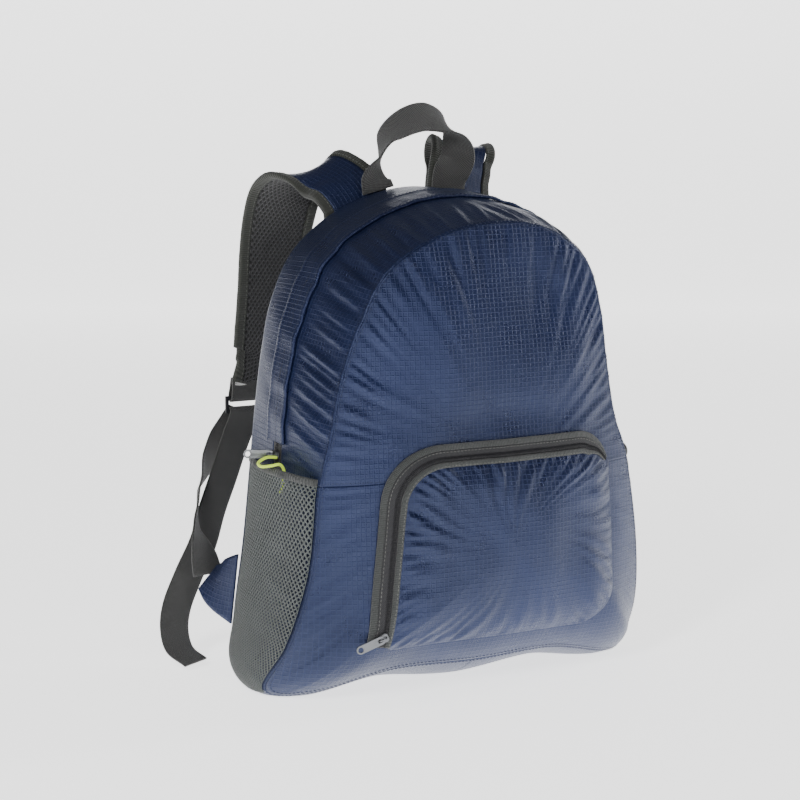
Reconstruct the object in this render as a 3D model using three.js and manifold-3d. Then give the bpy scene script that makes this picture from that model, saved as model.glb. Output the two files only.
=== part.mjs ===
// A packable nylon backpack, standing stuffed on its base.
// Millimetres: +X is the viewer's right, -Y the bag's front, +Z up, origin at the middle of the flat base.
import * as THREE from 'three';
import Module from 'manifold-3d';
import { mergeVertices } from 'three/addons/utils/BufferGeometryUtils.js';

const wasm = await Module();
wasm.setup();

// Driving dimensions of the bag.
const BAG_HEIGHT = 400;
const BAG_HALF_WIDTH = 165;
const BACK_SEAM_DEPTH = 70;
const FRONT_SEAM_DEPTH = 60;
const FLARE_HEIGHT = 178;
const BACK_DOME = 8;
const FRONT_DOME = 20;
const GUSSET_SWELL = 9;
const GATHER_DEPTH = 2.6;
const CLOTH = 1.5;
const SEAM_RELIEF = 0.18;
const SEAT = 0.4;

// Shares of the way from the middle of a panel to its seam, and of the way across the gusset.
const BACK_RINGS = [0, 0.75];
const GUSSET_BANDS = [0, 0.18, 0.37, 0.477, 0.62, 0.8, 1];
const FRONT_RINGS = [0.93, 0.78, 0.48, 0];

// Half of the bag's two seam loops, from the middle of the floor round to the middle of the crown.
// Sides and leans are shares of the half width, heights of the bag's height, depth of the front seam's.
// Swell and gather are shares of the depths above; roll is how sharply the front turns in at the seam.
const SECTION_COLUMNS = [
  'backSide', 'backHigh', 'frontSide', 'frontHigh', 'depth',
  'lean', 'swell', 'roll', 'gather',
];
const SECTIONS = [
  [0, 0.006, 0, 0.052, 0.80, -0.04, 1.75, 6, 0],
  [0.46, 0.006, 0.45, 0.054, 0.76, -0.04, 1.1, 6, 0],
  [0.84, 0.006, 0.84, 0.018, 0.50, -0.04, 1.2, 6, 0.1],
  [1.03, 0.045, 1.03, 0.018, 0.10, -0.04, 0.8, 6, 0.3],
  [1.02, 0.14, 0.99, 0.125, 0.64, -0.04, 0.3, 4.5, 0.3],
  [0.965, 0.29, 0.925, 0.27, 0.88, -0.03, 0, 3.6, 0.3],
  [0.92, 0.455, 0.865, 0.445, 0.95, -0.05, 0.2, 3.2, 0.5],
  [0.89, 0.565, 0.795, 0.54, 1, -0.07, 0.8, 3, 0.9],
  [0.85, 0.68, 0.74, 0.655, 1, -0.065, 1, 3, 1],
  [0.79, 0.785, 0.665, 0.765, 1, -0.03, 1, 2.8, 1],
  [0.655, 0.885, 0.55, 0.86, 1, 0, 0.9, 2.6, 1],
  [0.375, 0.965, 0.30, 0.925, 1, 0.04, 0.7, 2.6, 0.8],
  [0, 1.0, 0, 0.945, 1, 0.06, 0.6, 2.6, 0.6],
].map((row) => Object.fromEntries(SECTION_COLUMNS.map((name, n) => [name, row[n]])));
const STATIONS_PER_SECTION = 4;
const HALF_STATIONS = (SECTIONS.length - 1) * STATIONS_PER_SECTION;
const STATIONS = 2 * HALF_STATIONS;
const WAIST = 6 * STATIONS_PER_SECTION;
const GATHER_PITCH = 3;

// Dents and swells of the front panel: sides are shares of the half width, heights of the bag's height.
const FRONT_DENTS = [
  { side: -0.62, high: 0.60, wide: 0.16, tall: 0.20, push: 4 },
  { side: -0.30, high: 0.68, wide: 0.16, tall: 0.18, push: -4 },
  { side: 0.40, high: 0.80, wide: 0.28, tall: 0.08, push: 5 },
  { side: 0.05, high: 0.56, wide: 0.40, tall: 0.04, push: 4 },
];

const vector = (x, y, z) => new THREE.Vector3(x, y, z);

// Materials
function cloth(color, roughness = 0.55) {
  return new THREE.MeshStandardMaterial({ color, roughness, metalness: 0 });
}

const NAVY = '#3a4a86';
const NAVY_DARK = '#1d2547';
const MESH_GREY = '#6f7d78';
const TRIM_GREY = '#4b504b';
const WEBBING_GREY = '#4a4a48';
const TAPE_BLACK = '#1c1c20';

const group = new THREE.Group();

function addPiece(name, geometry, material) {
  const mesh = new THREE.Mesh(geometry, material);
  mesh.name = name;
  group.add(mesh);
  return mesh;
}

// Closed geometry from a list of triangle corners: shared corners merged, faces turned outward.
function closedGeometry(corners) {
  const loose = new THREE.BufferGeometry();
  const values = corners.flatMap((p) => [p.x, p.y, p.z]);
  loose.setAttribute('position', new THREE.Float32BufferAttribute(values, 3));
  const merged = mergeVertices(loose, 1e-4);
  const index = merged.index.array;
  const position = merged.attributes.position;
  const kept = [];
  let volume = 0;
  for (let n = 0; n < index.length; n += 3) {
    const [a, b, c] = [index[n], index[n + 1], index[n + 2]];
    if (a === b || b === c || c === a) continue;
    kept.push(a, b, c);
    const [p, q, r] = [a, b, c].map((k) => new THREE.Vector3().fromBufferAttribute(position, k));
    volume += p.dot(q.cross(r));
  }
  if (volume < 0) kept.reverse();
  merged.setIndex(kept);
  return merged;
}

// A sheet of cloth from a grid of { outer, inner } points, closed by its rims, or a ring where it wraps.
function thickSheet(grid, wrap = false) {
  const corners = [];
  const quad = (a, b, c, d) => corners.push(a, b, c, a, c, d);
  const rows = grid.length;
  const last = grid[0].length - 1;
  const steps = wrap ? rows : rows - 1;
  for (let i = 0; i < steps; i += 1) {
    const here = grid[i];
    const next = grid[(i + 1) % rows];
    for (let j = 0; j < last; j += 1) {
      quad(here[j].outer, next[j].outer, next[j + 1].outer, here[j + 1].outer);
      quad(here[j].inner, here[j + 1].inner, next[j + 1].inner, next[j].inner);
    }
    quad(next[0].outer, here[0].outer, here[0].inner, next[0].inner);
    quad(here[last].outer, next[last].outer, next[last].inner, here[last].inner);
  }
  if (!wrap) {
    const first = grid[0];
    const end = grid[rows - 1];
    for (let j = 0; j < last; j += 1) {
      quad(first[j].outer, first[j + 1].outer, first[j + 1].inner, first[j].inner);
      quad(end[j + 1].outer, end[j].outer, end[j].inner, end[j + 1].inner);
    }
  }
  return closedGeometry(corners);
}

// Smooth value of a table column at a fractional row; odd columns change sign past the table's ends.
function sectionValue(name, t, odd = false) {
  const last = SECTIONS.length - 1;
  const row = (n) => {
    if (n < 0) return (odd ? -1 : 1) * SECTIONS[-n][name];
    if (n > last) return (odd ? -1 : 1) * SECTIONS[2 * last - n][name];
    return SECTIONS[n][name];
  };
  const n = Math.min(Math.floor(t), last - 1);
  const f = t - n;
  const [a, b, c, d] = [row(n - 1), row(n), row(n + 1), row(n + 2)];
  const [slopeB, slopeC] = [(c - a) / 2, (d - b) / 2];
  return b + f * (slopeB + f * (3 * (c - b) - 2 * slopeB - slopeC + f * (2 * (b - c) + slopeB + slopeC)));
}

// The table row that a station round the bag falls on, and the side it is on.
function stationPlace(k) {
  const along = ((k % STATIONS) + STATIONS) % STATIONS;
  const right = along <= HALF_STATIONS;
  return { t: (right ? along : STATIONS - along) / STATIONS_PER_SECTION, sign: right ? 1 : -1 };
}

function seamPair(k) {
  const { t, sign } = stationPlace(k);
  const lean = sectionValue('lean', t) * BAG_HALF_WIDTH;
  return {
    back: vector(
      sign * sectionValue('backSide', t, true) * BAG_HALF_WIDTH,
      BACK_SEAM_DEPTH,
      sectionValue('backHigh', t) * BAG_HEIGHT,
    ),
    front: vector(
      sign * sectionValue('frontSide', t, true) * BAG_HALF_WIDTH + lean,
      -sectionValue('depth', t) * FRONT_SEAM_DEPTH,
      sectionValue('frontHigh', t) * BAG_HEIGHT,
    ),
  };
}

// Pucker of the cloth beside the front seam at a station, between -1 and 1.
function pucker(k, skew) {
  return Math.cos((2 * Math.PI * k) / GATHER_PITCH + skew) * (0.75 + 0.25 * Math.cos(k * 1.7));
}

function dent(x, z) {
  return FRONT_DENTS.reduce((sum, d) => {
    const across = (x / BAG_HALF_WIDTH - d.side) / d.wide;
    const up = (z / BAG_HEIGHT - d.high) / d.tall;
    return sum + d.push * Math.exp(-across * across - up * up);
  }, 0);
}

// Outer surface of the whole bag: one row of points for each station, from the back's middle to
// the front's.
function outerShell() {
  const rows = [];
  for (let k = 0; k < STATIONS; k += 1) {
    const { back, front } = seamPair(k);
    const before = seamPair(k - 1);
    const after = seamPair(k + 1);
    const { t } = stationPlace(k);
    const along = after.back.clone().add(after.front).sub(before.back).sub(before.front).normalize();
    const outward = vector(along.z, 0, -along.x).normalize();
    const gather = sectionValue('gather', t) * GATHER_DEPTH;
    const roll = sectionValue('roll', t);
    const row = [];
    for (const share of BACK_RINGS) {
      const centre = vector(0, 0, FLARE_HEIGHT);
      const point = centre.lerp(back, share);
      point.y = BACK_SEAM_DEPTH + BACK_DOME * (1 - share ** 3);
      row.push(point);
    }
    for (const share of GUSSET_BANDS) {
      const swell = 4 * share * (1 - share) * sectionValue('swell', t) * GUSSET_SWELL;
      const crimp = gather * Math.sin(Math.PI * share) * share * pucker(k, 2.2 * share);
      row.push(back.clone().lerp(front, share).addScaledVector(outward, swell + crimp));
    }
    for (const share of FRONT_RINGS) {
      const point = vector(0, 0, FLARE_HEIGHT).lerp(front, share);
      const rise = 1 - share ** roll;
      const crimp = 3 * (1 - share) * share ** 6 * gather * pucker(k, 0);
      const ease = Math.sin(Math.PI * Math.min(1, 1.4 * (1 - share))) * (share > 0 ? 1 : 0);
      point.y = front.y + (-FRONT_SEAM_DEPTH - FRONT_DOME - front.y) * rise - crimp;
      point.y += dent(point.x, point.z) * (share === 0 ? 1 : Math.max(ease, 1 - share));
      row.push(point);
    }
    row.forEach((point) => {
      point.z = Math.max(point.z, 0);
    });
    rows.push(row);
  }
  return rows;
}

// Outward direction at each point of the shell, lengthened at the seams so that cloth keeps its thickness.
function shellNormals(rows) {
  const columns = rows[0].length;
  const faceNormal = (i, j) => {
    const a = rows[(i + STATIONS) % STATIONS];
    const b = rows[(i + 1) % STATIONS];
    return b[j + 1].clone().sub(a[j]).cross(a[j + 1].clone().sub(b[j])).normalize();
  };
  return rows.map((row, i) => row.map((point, j) => {
    if (j === 0) return vector(0, 1, 0);
    if (j === columns - 1) return vector(0, -1, 0);
    const faces = [faceNormal(i - 1, j - 1), faceNormal(i, j - 1), faceNormal(i - 1, j), faceNormal(i, j)];
    const mean = faces.reduce((sum, face) => sum.add(face), vector(0, 0, 0)).normalize();
    const facing = faces.reduce((sum, face) => sum + face.dot(mean), 0) / faces.length;
    return mean.divideScalar(Math.max(facing, 0.6));
  }));
}

const SHELL = outerShell();
const OUTWARD = (() => {
  const normals = shellNormals(SHELL);
  const probe = normals[HALF_STATIONS][BACK_RINGS.length + 3];
  const turn = probe.z < 0 ? -1 : 1;
  normals.forEach((row) => row.forEach((n, j) => {
    if (j > 0 && j < row.length - 1) n.multiplyScalar(turn);
  }));
  return normals;
})();

const BACK_SEAM = BACK_RINGS.length;
const FRONT_SEAM = BACK_SEAM + GUSSET_BANDS.length - 1;
const FRONT_MIDDLE = FRONT_SEAM + FRONT_RINGS.length;
const ZIP_BAND = GUSSET_BANDS.indexOf(0.37) + BACK_SEAM;

// Point of the shell at a fractional station and column, lifted outward by a distance.
function onShell(station, column, lift = 0) {
  const k = Math.floor(station);
  const j = Math.min(Math.floor(column), FRONT_MIDDLE - 1);
  const [f, g] = [station - k, column - j];
  const wrapped = (n) => ((n % STATIONS) + STATIONS) % STATIONS;
  const blend = (table) => {
    const near = table[wrapped(k)][j].clone().lerp(table[wrapped(k)][j + 1], g);
    const far = table[wrapped(k + 1)][j].clone().lerp(table[wrapped(k + 1)][j + 1], g);
    return near.lerp(far, f);
  };
  return blend(SHELL).addScaledVector(blend(OUTWARD), lift);
}

// One panel of the bag: a block of stations and columns, its edges drawn back from the seams.
function shellPanel(name, firstStation, lastStation, firstColumn, lastColumn, color) {
  const whole = lastStation - firstStation === STATIONS;
  const grid = [];
  for (let k = firstStation; k <= lastStation - (whole ? 1 : 0); k += 1) {
    const row = [];
    for (let j = firstColumn; j <= lastColumn; j += 1) {
      const outer = onShell(k, j);
      const inner = onShell(k, j, -CLOTH);
      if (j === FRONT_MIDDLE || j === 0) inner.y = outer.y + (j === 0 ? -CLOTH : CLOTH);
      row.push({ outer, inner });
    }
    grid.push(row);
  }
  const shift = (cell, direction) => {
    cell.outer.addScaledVector(direction, SEAM_RELIEF);
    cell.inner.addScaledVector(direction, SEAM_RELIEF);
  };
  const toward = (from, to) => to.outer.clone().sub(from.outer).normalize();
  const last = grid[0].length - 1;
  const moves = [];
  grid.forEach((row) => {
    if (firstColumn > 0) moves.push([row[0], toward(row[0], row[1])]);
    if (lastColumn < FRONT_MIDDLE) moves.push([row[last], toward(row[last], row[last - 1])]);
  });
  if (!whole) {
    const ends = [[grid[0], grid[1]], [grid[grid.length - 1], grid[grid.length - 2]]];
    ends.forEach(([edge, next]) => {
      edge.forEach((cell, j) => {
        if (firstColumn + j < FRONT_MIDDLE) moves.push([cell, toward(cell, next[j])]);
      });
    });
    if (lastColumn === FRONT_MIDDLE) {
      const up = firstStation === WAIST ? 1 : -1;
      grid.forEach((row) => moves.push([row[last], vector(0, 0, up)]));
    }
  }
  moves.forEach(([cell, direction]) => shift(cell, direction));
  return addPiece(name, thickSheet(grid, whole), cloth(color, 0.42));
}

const LEFT_WAIST = STATIONS - WAIST;
shellPanel('back_panel', 0, STATIONS, 0, BACK_SEAM, NAVY);
shellPanel('gusset_back', WAIST, LEFT_WAIST, BACK_SEAM, ZIP_BAND, NAVY);
shellPanel('main_zip', WAIST, LEFT_WAIST, ZIP_BAND, ZIP_BAND + 1, TAPE_BLACK);
shellPanel('gusset_front', WAIST, LEFT_WAIST, ZIP_BAND + 1, FRONT_SEAM, NAVY);
shellPanel('base_gusset', LEFT_WAIST, STATIONS + WAIST, BACK_SEAM, FRONT_SEAM, NAVY);
shellPanel('front_upper_panel', WAIST, LEFT_WAIST, FRONT_SEAM, FRONT_MIDDLE, NAVY);
shellPanel('front_lower_panel', LEFT_WAIST, STATIONS + WAIST, FRONT_SEAM, FRONT_MIDDLE, NAVY);

// A layer of cloth lying over the shell between two stations and two columns, lifted by a function.
function shellLayer(stations, columns, thickness, liftAt) {
  const grid = stations.map((k, row) => columns.map((j, column) => {
    const lift = liftAt(row / (stations.length - 1), column / (columns.length - 1), k, j);
    return { outer: onShell(k, j, lift + thickness), inner: onShell(k, j, lift) };
  }));
  return thickSheet(grid);
}

const range = (from, to, steps) => (
  Array.from({ length: steps + 1 }, (_, n) => from + ((to - from) * n) / steps)
);

// Storm flap over the main zip: a folded strip sewn behind the zip, from side to side over the crown.
const FLAP_THICK = 1.2;
const FLAP_START = WAIST + 2;
const FLAP_COLUMNS = [ZIP_BAND - 0.45, ZIP_BAND, ZIP_BAND + 1, ZIP_BAND + 1.3];
addPiece('storm_flap', shellLayer(
  range(FLAP_START, STATIONS - FLAP_START, STATIONS - 2 * FLAP_START),
  FLAP_COLUMNS,
  FLAP_THICK,
  () => SEAT,
), cloth(NAVY, 0.42));

// Side pockets of net: a loose sheet over each lower side, open at the top, with an elastic binding.
const NET_THICK = 1.2;
const NET_STAND_OFF = 13;
const NET_BINDING_DEPTH = 7.5;
const NET_BINDING_THICK = 2.6;
const NET_CORNER = 11.5;
const NET_COLUMNS = [0.3, 1, 2, 3, 4, 5, 5.8].map((band) => BACK_SEAM + band);
const NET_TOP_STATION = WAIST + 0.35;
const STATION_RISE = 17;

function netLift(up, across) {
  return SEAT + NET_STAND_OFF * Math.min(1, 1.6 * up) ** 0.8 * Math.sin(Math.PI * across) ** 0.7;
}

function addNetPocket(side, place) {
  const bindingStart = NET_TOP_STATION - NET_BINDING_DEPTH / STATION_RISE;
  const between = range(NET_CORNER + 0.5, WAIST - 1, WAIST - NET_CORNER - 1.5);
  const stations = [NET_CORNER, ...between, bindingStart];
  const cut = SEAM_RELIEF / STATION_RISE;
  const reach = (bindingStart - NET_CORNER) / (NET_TOP_STATION - NET_CORNER);
  addPiece(`mesh_pocket_${side}`, shellLayer(
    stations.map(place),
    NET_COLUMNS,
    NET_THICK,
    (up, across) => netLift(up * reach, across),
  ), cloth(MESH_GREY, 0.7));
  addPiece(`mesh_binding_${side}`, shellLayer(
    range(bindingStart + 2 * cut, NET_TOP_STATION, 1).map(place),
    NET_COLUMNS,
    NET_BINDING_THICK,
    (up, across) => netLift(1, across) - 0.3 * Math.sin(Math.PI * across),
  ), cloth(TRIM_GREY, 0.8));
}

addNetPocket('right', (k) => k);
addNetPocket('left', (k) => STATIONS - k);

// Front pocket. Its corners, in the plane of the front, with the radius of each.
const POCKET_SWELL = 12;
const POCKET_ROLL = 34;
const POCKET_SEAT = 1.1;
const POCKET_GATHER = 1.2;
const POCKET_BINDING = 4.5;
const POCKET_ZIP_WIDTH = 17;
const POCKET_BOTTOM = 44;
const POCKET_TOP = 207;
const POCKET_LEFT_LOW = -121;
const POCKET_LEFT_HIGH = -101;
const POCKET_RIGHT_LOW = 111;
const POCKET_RIGHT_HIGH = 105;
const TAPE_THICK = 1.2;
const POCKET_CORNERS = [
  { x: POCKET_LEFT_LOW, z: POCKET_BOTTOM, radius: 5, steps: 1 },
  { x: POCKET_LEFT_HIGH, z: POCKET_TOP, radius: 50, steps: 7 },
  { x: POCKET_RIGHT_HIGH, z: POCKET_TOP, radius: 34, steps: 6 },
  { x: POCKET_RIGHT_LOW, z: POCKET_BOTTOM, radius: 36, steps: 5 },
];
const POCKET_SIDE_STEPS = [9, 7, 6, 8];

// The outline as points with their inward directions, from the bottom left corner up and over.
function pocketOutline() {
  const corners = POCKET_CORNERS.map((c) => ({ ...c, at: new THREE.Vector2(c.x, c.z) }));
  const count = corners.length;
  const tangents = corners.map((corner, n) => {
    const before = corners[(n + count - 1) % count].at.clone().sub(corner.at).normalize();
    const after = corners[(n + 1) % count].at.clone().sub(corner.at).normalize();
    const half = Math.acos(before.dot(after)) / 2;
    const reach = corner.radius / Math.tan(half);
    const centre = before.clone().add(after).normalize().multiplyScalar(corner.radius / Math.sin(half));
    return {
      enter: corner.at.clone().addScaledVector(before, reach),
      leave: corner.at.clone().addScaledVector(after, reach),
      centre: centre.add(corner.at),
      steps: corner.steps,
    };
  });
  const points = [];
  tangents.forEach((tangent, n) => {
    const next = tangents[(n + 1) % count];
    const start = tangent.enter.clone().sub(tangent.centre).angle();
    let sweep = tangent.leave.clone().sub(tangent.centre).angle() - start;
    if (sweep > Math.PI) sweep -= 2 * Math.PI;
    if (sweep < -Math.PI) sweep += 2 * Math.PI;
    const radius = tangent.enter.distanceTo(tangent.centre);
    for (let s = 0; s < tangent.steps; s += 1) {
      const angle = start + (sweep * s) / tangent.steps;
      const spoke = new THREE.Vector2(Math.cos(angle), Math.sin(angle)).multiplyScalar(radius);
      points.push(tangent.centre.clone().add(spoke));
    }
    for (let s = 0; s < POCKET_SIDE_STEPS[n]; s += 1) {
      points.push(tangent.leave.clone().lerp(next.enter, s / POCKET_SIDE_STEPS[n]));
    }
  });
  return points.map((point, n) => {
    const before = points[(n + points.length - 1) % points.length];
    const after = points[(n + 1) % points.length];
    const along = after.clone().sub(before).normalize();
    return { point, inward: new THREE.Vector2(along.y, -along.x) };
  });
}

// Depth of the bag's front at a place, found on the panels' own facets.
const frontSkin = (() => {
  const corners = [];
  for (let k = 0; k < STATIONS; k += 1) {
    for (let j = FRONT_SEAM; j < FRONT_MIDDLE; j += 1) {
      const [a, b, c, d] = [onShell(k, j), onShell(k + 1, j), onShell(k + 1, j + 1), onShell(k, j + 1)];
      corners.push(a, b, c, a, c, d);
    }
  }
  const geometry = new THREE.BufferGeometry().setFromPoints(corners);
  return new THREE.Mesh(geometry, new THREE.MeshStandardMaterial({ side: THREE.DoubleSide }));
})();

function frontDepth(x, z) {
  const caster = new THREE.Raycaster(vector(x, -BAG_HEIGHT, z), vector(0, 1, 0));
  return caster.intersectObject(frontSkin)[0].point.y;
}

function pocketLift(inset) {
  return POCKET_SEAT + POCKET_SWELL * (1 - Math.exp(-inset / POCKET_ROLL));
}

function onPocket(x, z, lift, thickness) {
  const y = frontDepth(x, z) - lift;
  return { outer: vector(x, y - thickness, z), inner: vector(x, y, z) };
}

const OUTLINE = pocketOutline();
const ZIP_FIRST = POCKET_CORNERS[0].steps;
const ZIP_LAST = ZIP_FIRST + POCKET_SIDE_STEPS[0] + POCKET_CORNERS[1].steps + POCKET_SIDE_STEPS[1] + 5;
const ZIP_TAPER = 3;

// How much of the zip's full width it has at an outline point: it narrows to nothing past its end.
function zipShare(n) {
  if (n < ZIP_FIRST || n > ZIP_LAST) return 0;
  return Math.min(1, 0.35 + (0.65 * (ZIP_LAST - n)) / ZIP_TAPER);
}

function pocketBand(from, to, thickness, liftMore = 0) {
  const grid = [];
  for (let n = ZIP_FIRST; n <= ZIP_LAST; n += 1) {
    const { point, inward } = OUTLINE[n];
    const share = zipShare(n);
    const edges = [from * share + SEAM_RELIEF, to * share - SEAM_RELIEF];
    grid.push(edges.map((inset) => {
      const at = point.clone().addScaledVector(inward, inset);
      return onPocket(at.x, at.y, pocketLift(inset) + liftMore, thickness);
    }));
  }
  return thickSheet(grid);
}

const COIL_WIDTH = 5;
const COIL_THICK = 1.4;
const coilMiddle = POCKET_BINDING + (POCKET_ZIP_WIDTH - POCKET_BINDING) / 2;
const coilLift = TAPE_THICK + SEAT;
addPiece('pocket_binding', pocketBand(0, POCKET_BINDING, TAPE_THICK), cloth(TRIM_GREY, 0.8));
addPiece('pocket_zip', pocketBand(POCKET_BINDING, POCKET_ZIP_WIDTH, TAPE_THICK), cloth(TAPE_BLACK, 0.7));
addPiece('pocket_zip_coil', pocketBand(
  coilMiddle - COIL_WIDTH / 2,
  coilMiddle + COIL_WIDTH / 2,
  COIL_THICK,
  coilLift,
), cloth(TAPE_BLACK, 0.35));

const POCKET_PANEL_RINGS = [1, 0.92, 0.78, 0.5, 0];

function addPocketPanel() {
  const edge = OUTLINE.map(({ point, inward }, n) => {
    const inset = zipShare(n) * POCKET_ZIP_WIDTH;
    const lowLeft = n < ZIP_FIRST;
    const at = point.clone().addScaledVector(inward, inset + SEAM_RELIEF);
    return { at: lowLeft ? null : at, inset };
  });
  edge.forEach((cell, n) => {
    if (cell.at) return;
    cell.at = edge[ZIP_FIRST].at.clone().add(new THREE.Vector2(0, -0.5 * (ZIP_FIRST - n)));
    cell.inset = edge[ZIP_FIRST].inset;
  });
  const outline = edge.filter((cell, n) => {
    const bottom = n > OUTLINE.length - POCKET_SIDE_STEPS[3];
    return !(bottom && cell.at.x < edge[ZIP_FIRST].at.x + 4);
  });
  const centre = new THREE.Vector2(
    (POCKET_LEFT_LOW + POCKET_RIGHT_LOW + POCKET_ZIP_WIDTH) / 2,
    (POCKET_TOP + POCKET_BOTTOM) / 2,
  );
  const full = POCKET_SEAT + POCKET_SWELL;
  const grid = outline.map(({ at, inset }, n) => POCKET_PANEL_RINGS.map((share) => {
    const spot = centre.clone().lerp(at, share);
    const edgeLift = pocketLift(inset);
    const crimp = share === 0.92 ? POCKET_GATHER * Math.cos(Math.PI * n) : 0;
    const lift = edgeLift + (full - edgeLift) * (1 - share ** 3.2) + Math.abs(crimp) / 2 + crimp / 2;
    return onPocket(spot.x, spot.y, lift, CLOTH);
  }));
  return addPiece('pocket_panel', thickSheet(grid, true), cloth(NAVY, 0.42));
}

addPocketPanel();

// Solid geometry helpers for the small metal parts
function toSolid(geometry) {
  const bare = geometry.clone();
  bare.deleteAttribute('normal');
  bare.deleteAttribute('uv');
  const merged = mergeVertices(bare, 1e-4);
  return new wasm.Manifold(new wasm.Mesh({
    numProp: 3,
    vertProperties: new Float32Array(merged.attributes.position.array),
    triVerts: new Uint32Array(merged.index.array),
  }));
}

function toGeometry(solid) {
  const mesh = solid.getMesh();
  const geometry = new THREE.BufferGeometry();
  geometry.setAttribute('position', new THREE.BufferAttribute(mesh.vertProperties, 3));
  geometry.setIndex(new THREE.BufferAttribute(mesh.triVerts, 1));
  return geometry;
}

// Zip slider: x across, y along the way its bail faces, z out of the cloth.
const SLIDER_LENGTH = 9.5;
const SLIDER_WIDTH = 7.5;
const SLIDER_THICK = 3.2;
const BAIL_WIRE = 1.2;
const PULL_BAR = 1.3;
const PULL_PLAY = 0.45;
const PULL_THICK = 1.3;
const PULL_WIDTH = 7;
const PULL_LENGTH = 23;
const PULL_RING_HOLE = 2.1;
const PULL_CHAMFER = 0.6;
const BAIL_INNER_HEIGHT = PULL_BAR * 1.42 + 2 * PULL_PLAY;
const BAIL_INNER_HALF = 2.2;
const BAR_HEIGHT = SLIDER_THICK + BAIL_INNER_HEIGHT / 2;

function sliderGeometry() {
  const plan = new THREE.Shape();
  const [w, l] = [SLIDER_WIDTH / 2, SLIDER_LENGTH / 2];
  plan.moveTo(-w, -l + 2);
  plan.lineTo(-w + 1.6, -l);
  plan.lineTo(w - 1.6, -l);
  plan.lineTo(w, -l + 2);
  plan.lineTo(w - 0.8, l - 1);
  plan.lineTo(w - 2, l);
  plan.lineTo(-w + 2, l);
  plan.lineTo(-w + 0.8, l - 1);
  const body = new THREE.ExtrudeGeometry(plan, { depth: SLIDER_THICK, bevelEnabled: false });
  const bail = new THREE.Shape();
  const outer = BAIL_INNER_HALF + BAIL_WIRE;
  const top = BAIL_INNER_HEIGHT + BAIL_WIRE;
  bail.moveTo(-outer, -0.6);
  bail.lineTo(-outer, top - 1);
  bail.lineTo(-outer + 1, top);
  bail.lineTo(outer - 1, top);
  bail.lineTo(outer, top - 1);
  bail.lineTo(outer, -0.6);
  bail.lineTo(BAIL_INNER_HALF, -0.6);
  bail.lineTo(BAIL_INNER_HALF, BAIL_INNER_HEIGHT);
  bail.lineTo(-BAIL_INNER_HALF, BAIL_INNER_HEIGHT);
  bail.lineTo(-BAIL_INNER_HALF, -0.6);
  const wire = new THREE.ExtrudeGeometry(bail, { depth: BAIL_WIRE, bevelEnabled: false });
  wire.translate(0, 0, -BAIL_WIRE / 2);
  wire.rotateX(Math.PI / 2);
  wire.rotateZ(Math.PI / 2);
  wire.translate(0, 0, SLIDER_THICK);
  return toGeometry(toSolid(body).add(toSolid(wire)));
}

// Pull tab in its own frame: the hinge bar along x through the origin, the tab reaching out along y.
function pullGeometry() {
  const tab = new THREE.Shape();
  const half = PULL_WIDTH / 2;
  const bar = PULL_BAR / 2;
  const tip = PULL_LENGTH - half;
  tab.moveTo(-half + PULL_CHAMFER, -bar);
  tab.lineTo(half - PULL_CHAMFER, -bar);
  tab.lineTo(half, bar + PULL_CHAMFER);
  tab.lineTo(half, tip - 2);
  tab.absarc(0, tip, half, 0, Math.PI, false);
  tab.lineTo(-half, bar + PULL_CHAMFER);
  const slot = new THREE.Path();
  const slotHalf = BAIL_WIRE / 2 + 0.9;
  const slotEnd = Math.hypot(BAIL_INNER_HALF + BAIL_WIRE, BAIL_INNER_HEIGHT / 2) + 0.7;
  slot.moveTo(-slotHalf, bar);
  slot.lineTo(-slotHalf, slotEnd);
  slot.lineTo(slotHalf, slotEnd);
  slot.lineTo(slotHalf, bar);
  const ring = new THREE.Path();
  ring.absarc(0, tip, PULL_RING_HOLE, 0, 2 * Math.PI, true);
  tab.holes.push(slot, ring);
  const settings = { depth: PULL_THICK, bevelEnabled: false, curveSegments: 8 };
  const geometry = new THREE.ExtrudeGeometry(tab, settings);
  geometry.translate(0, 0, -PULL_THICK / 2);
  return toGeometry(toSolid(geometry));
}

const zinc = () => new THREE.MeshStandardMaterial({ color: '#6c7076', roughness: 0.4, metalness: 0.9 });

// A slider and its pull at a place: `out` leaves the cloth, `bailWay` is the way the bail runs, and
// `lie` is the angle between the cloth and the pull.
function addSlider(prefix, place, out, bailWay, lie) {
  const up = out.clone().normalize();
  const across = bailWay.clone().cross(up).normalize();
  const along = up.clone().cross(across).normalize();
  const frame = new THREE.Matrix4().makeBasis(across, along, up).setPosition(place);
  const slider = addPiece(`${prefix}_slider`, sliderGeometry(), zinc());
  slider.applyMatrix4(frame);
  const pull = addPiece(`${prefix}_pull`, pullGeometry(), zinc());
  const swing = new THREE.Matrix4().makeRotationX(lie).setPosition(0, 0, BAR_HEIGHT);
  pull.applyMatrix4(frame.clone().multiply(swing));
}

// Main zip slider, at the lower end of the zip on the left side, its pull standing out sideways.
const MAIN_SLIDER_STATION = STATIONS - WAIST - 1.05;
const MAIN_SLIDER_COLUMN = ZIP_BAND + 0.5;
const MAIN_PULL_LIE = 1.35;
const mainSliderOut = (() => {
  const foot = onShell(MAIN_SLIDER_STATION, MAIN_SLIDER_COLUMN);
  return onShell(MAIN_SLIDER_STATION, MAIN_SLIDER_COLUMN, 1).sub(foot).normalize();
})();
addSlider(
  'main',
  onShell(MAIN_SLIDER_STATION, MAIN_SLIDER_COLUMN, SEAT + 0.3),
  mainSliderOut,
  vector(0, 1, 0),
  MAIN_PULL_LIE,
);

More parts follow.
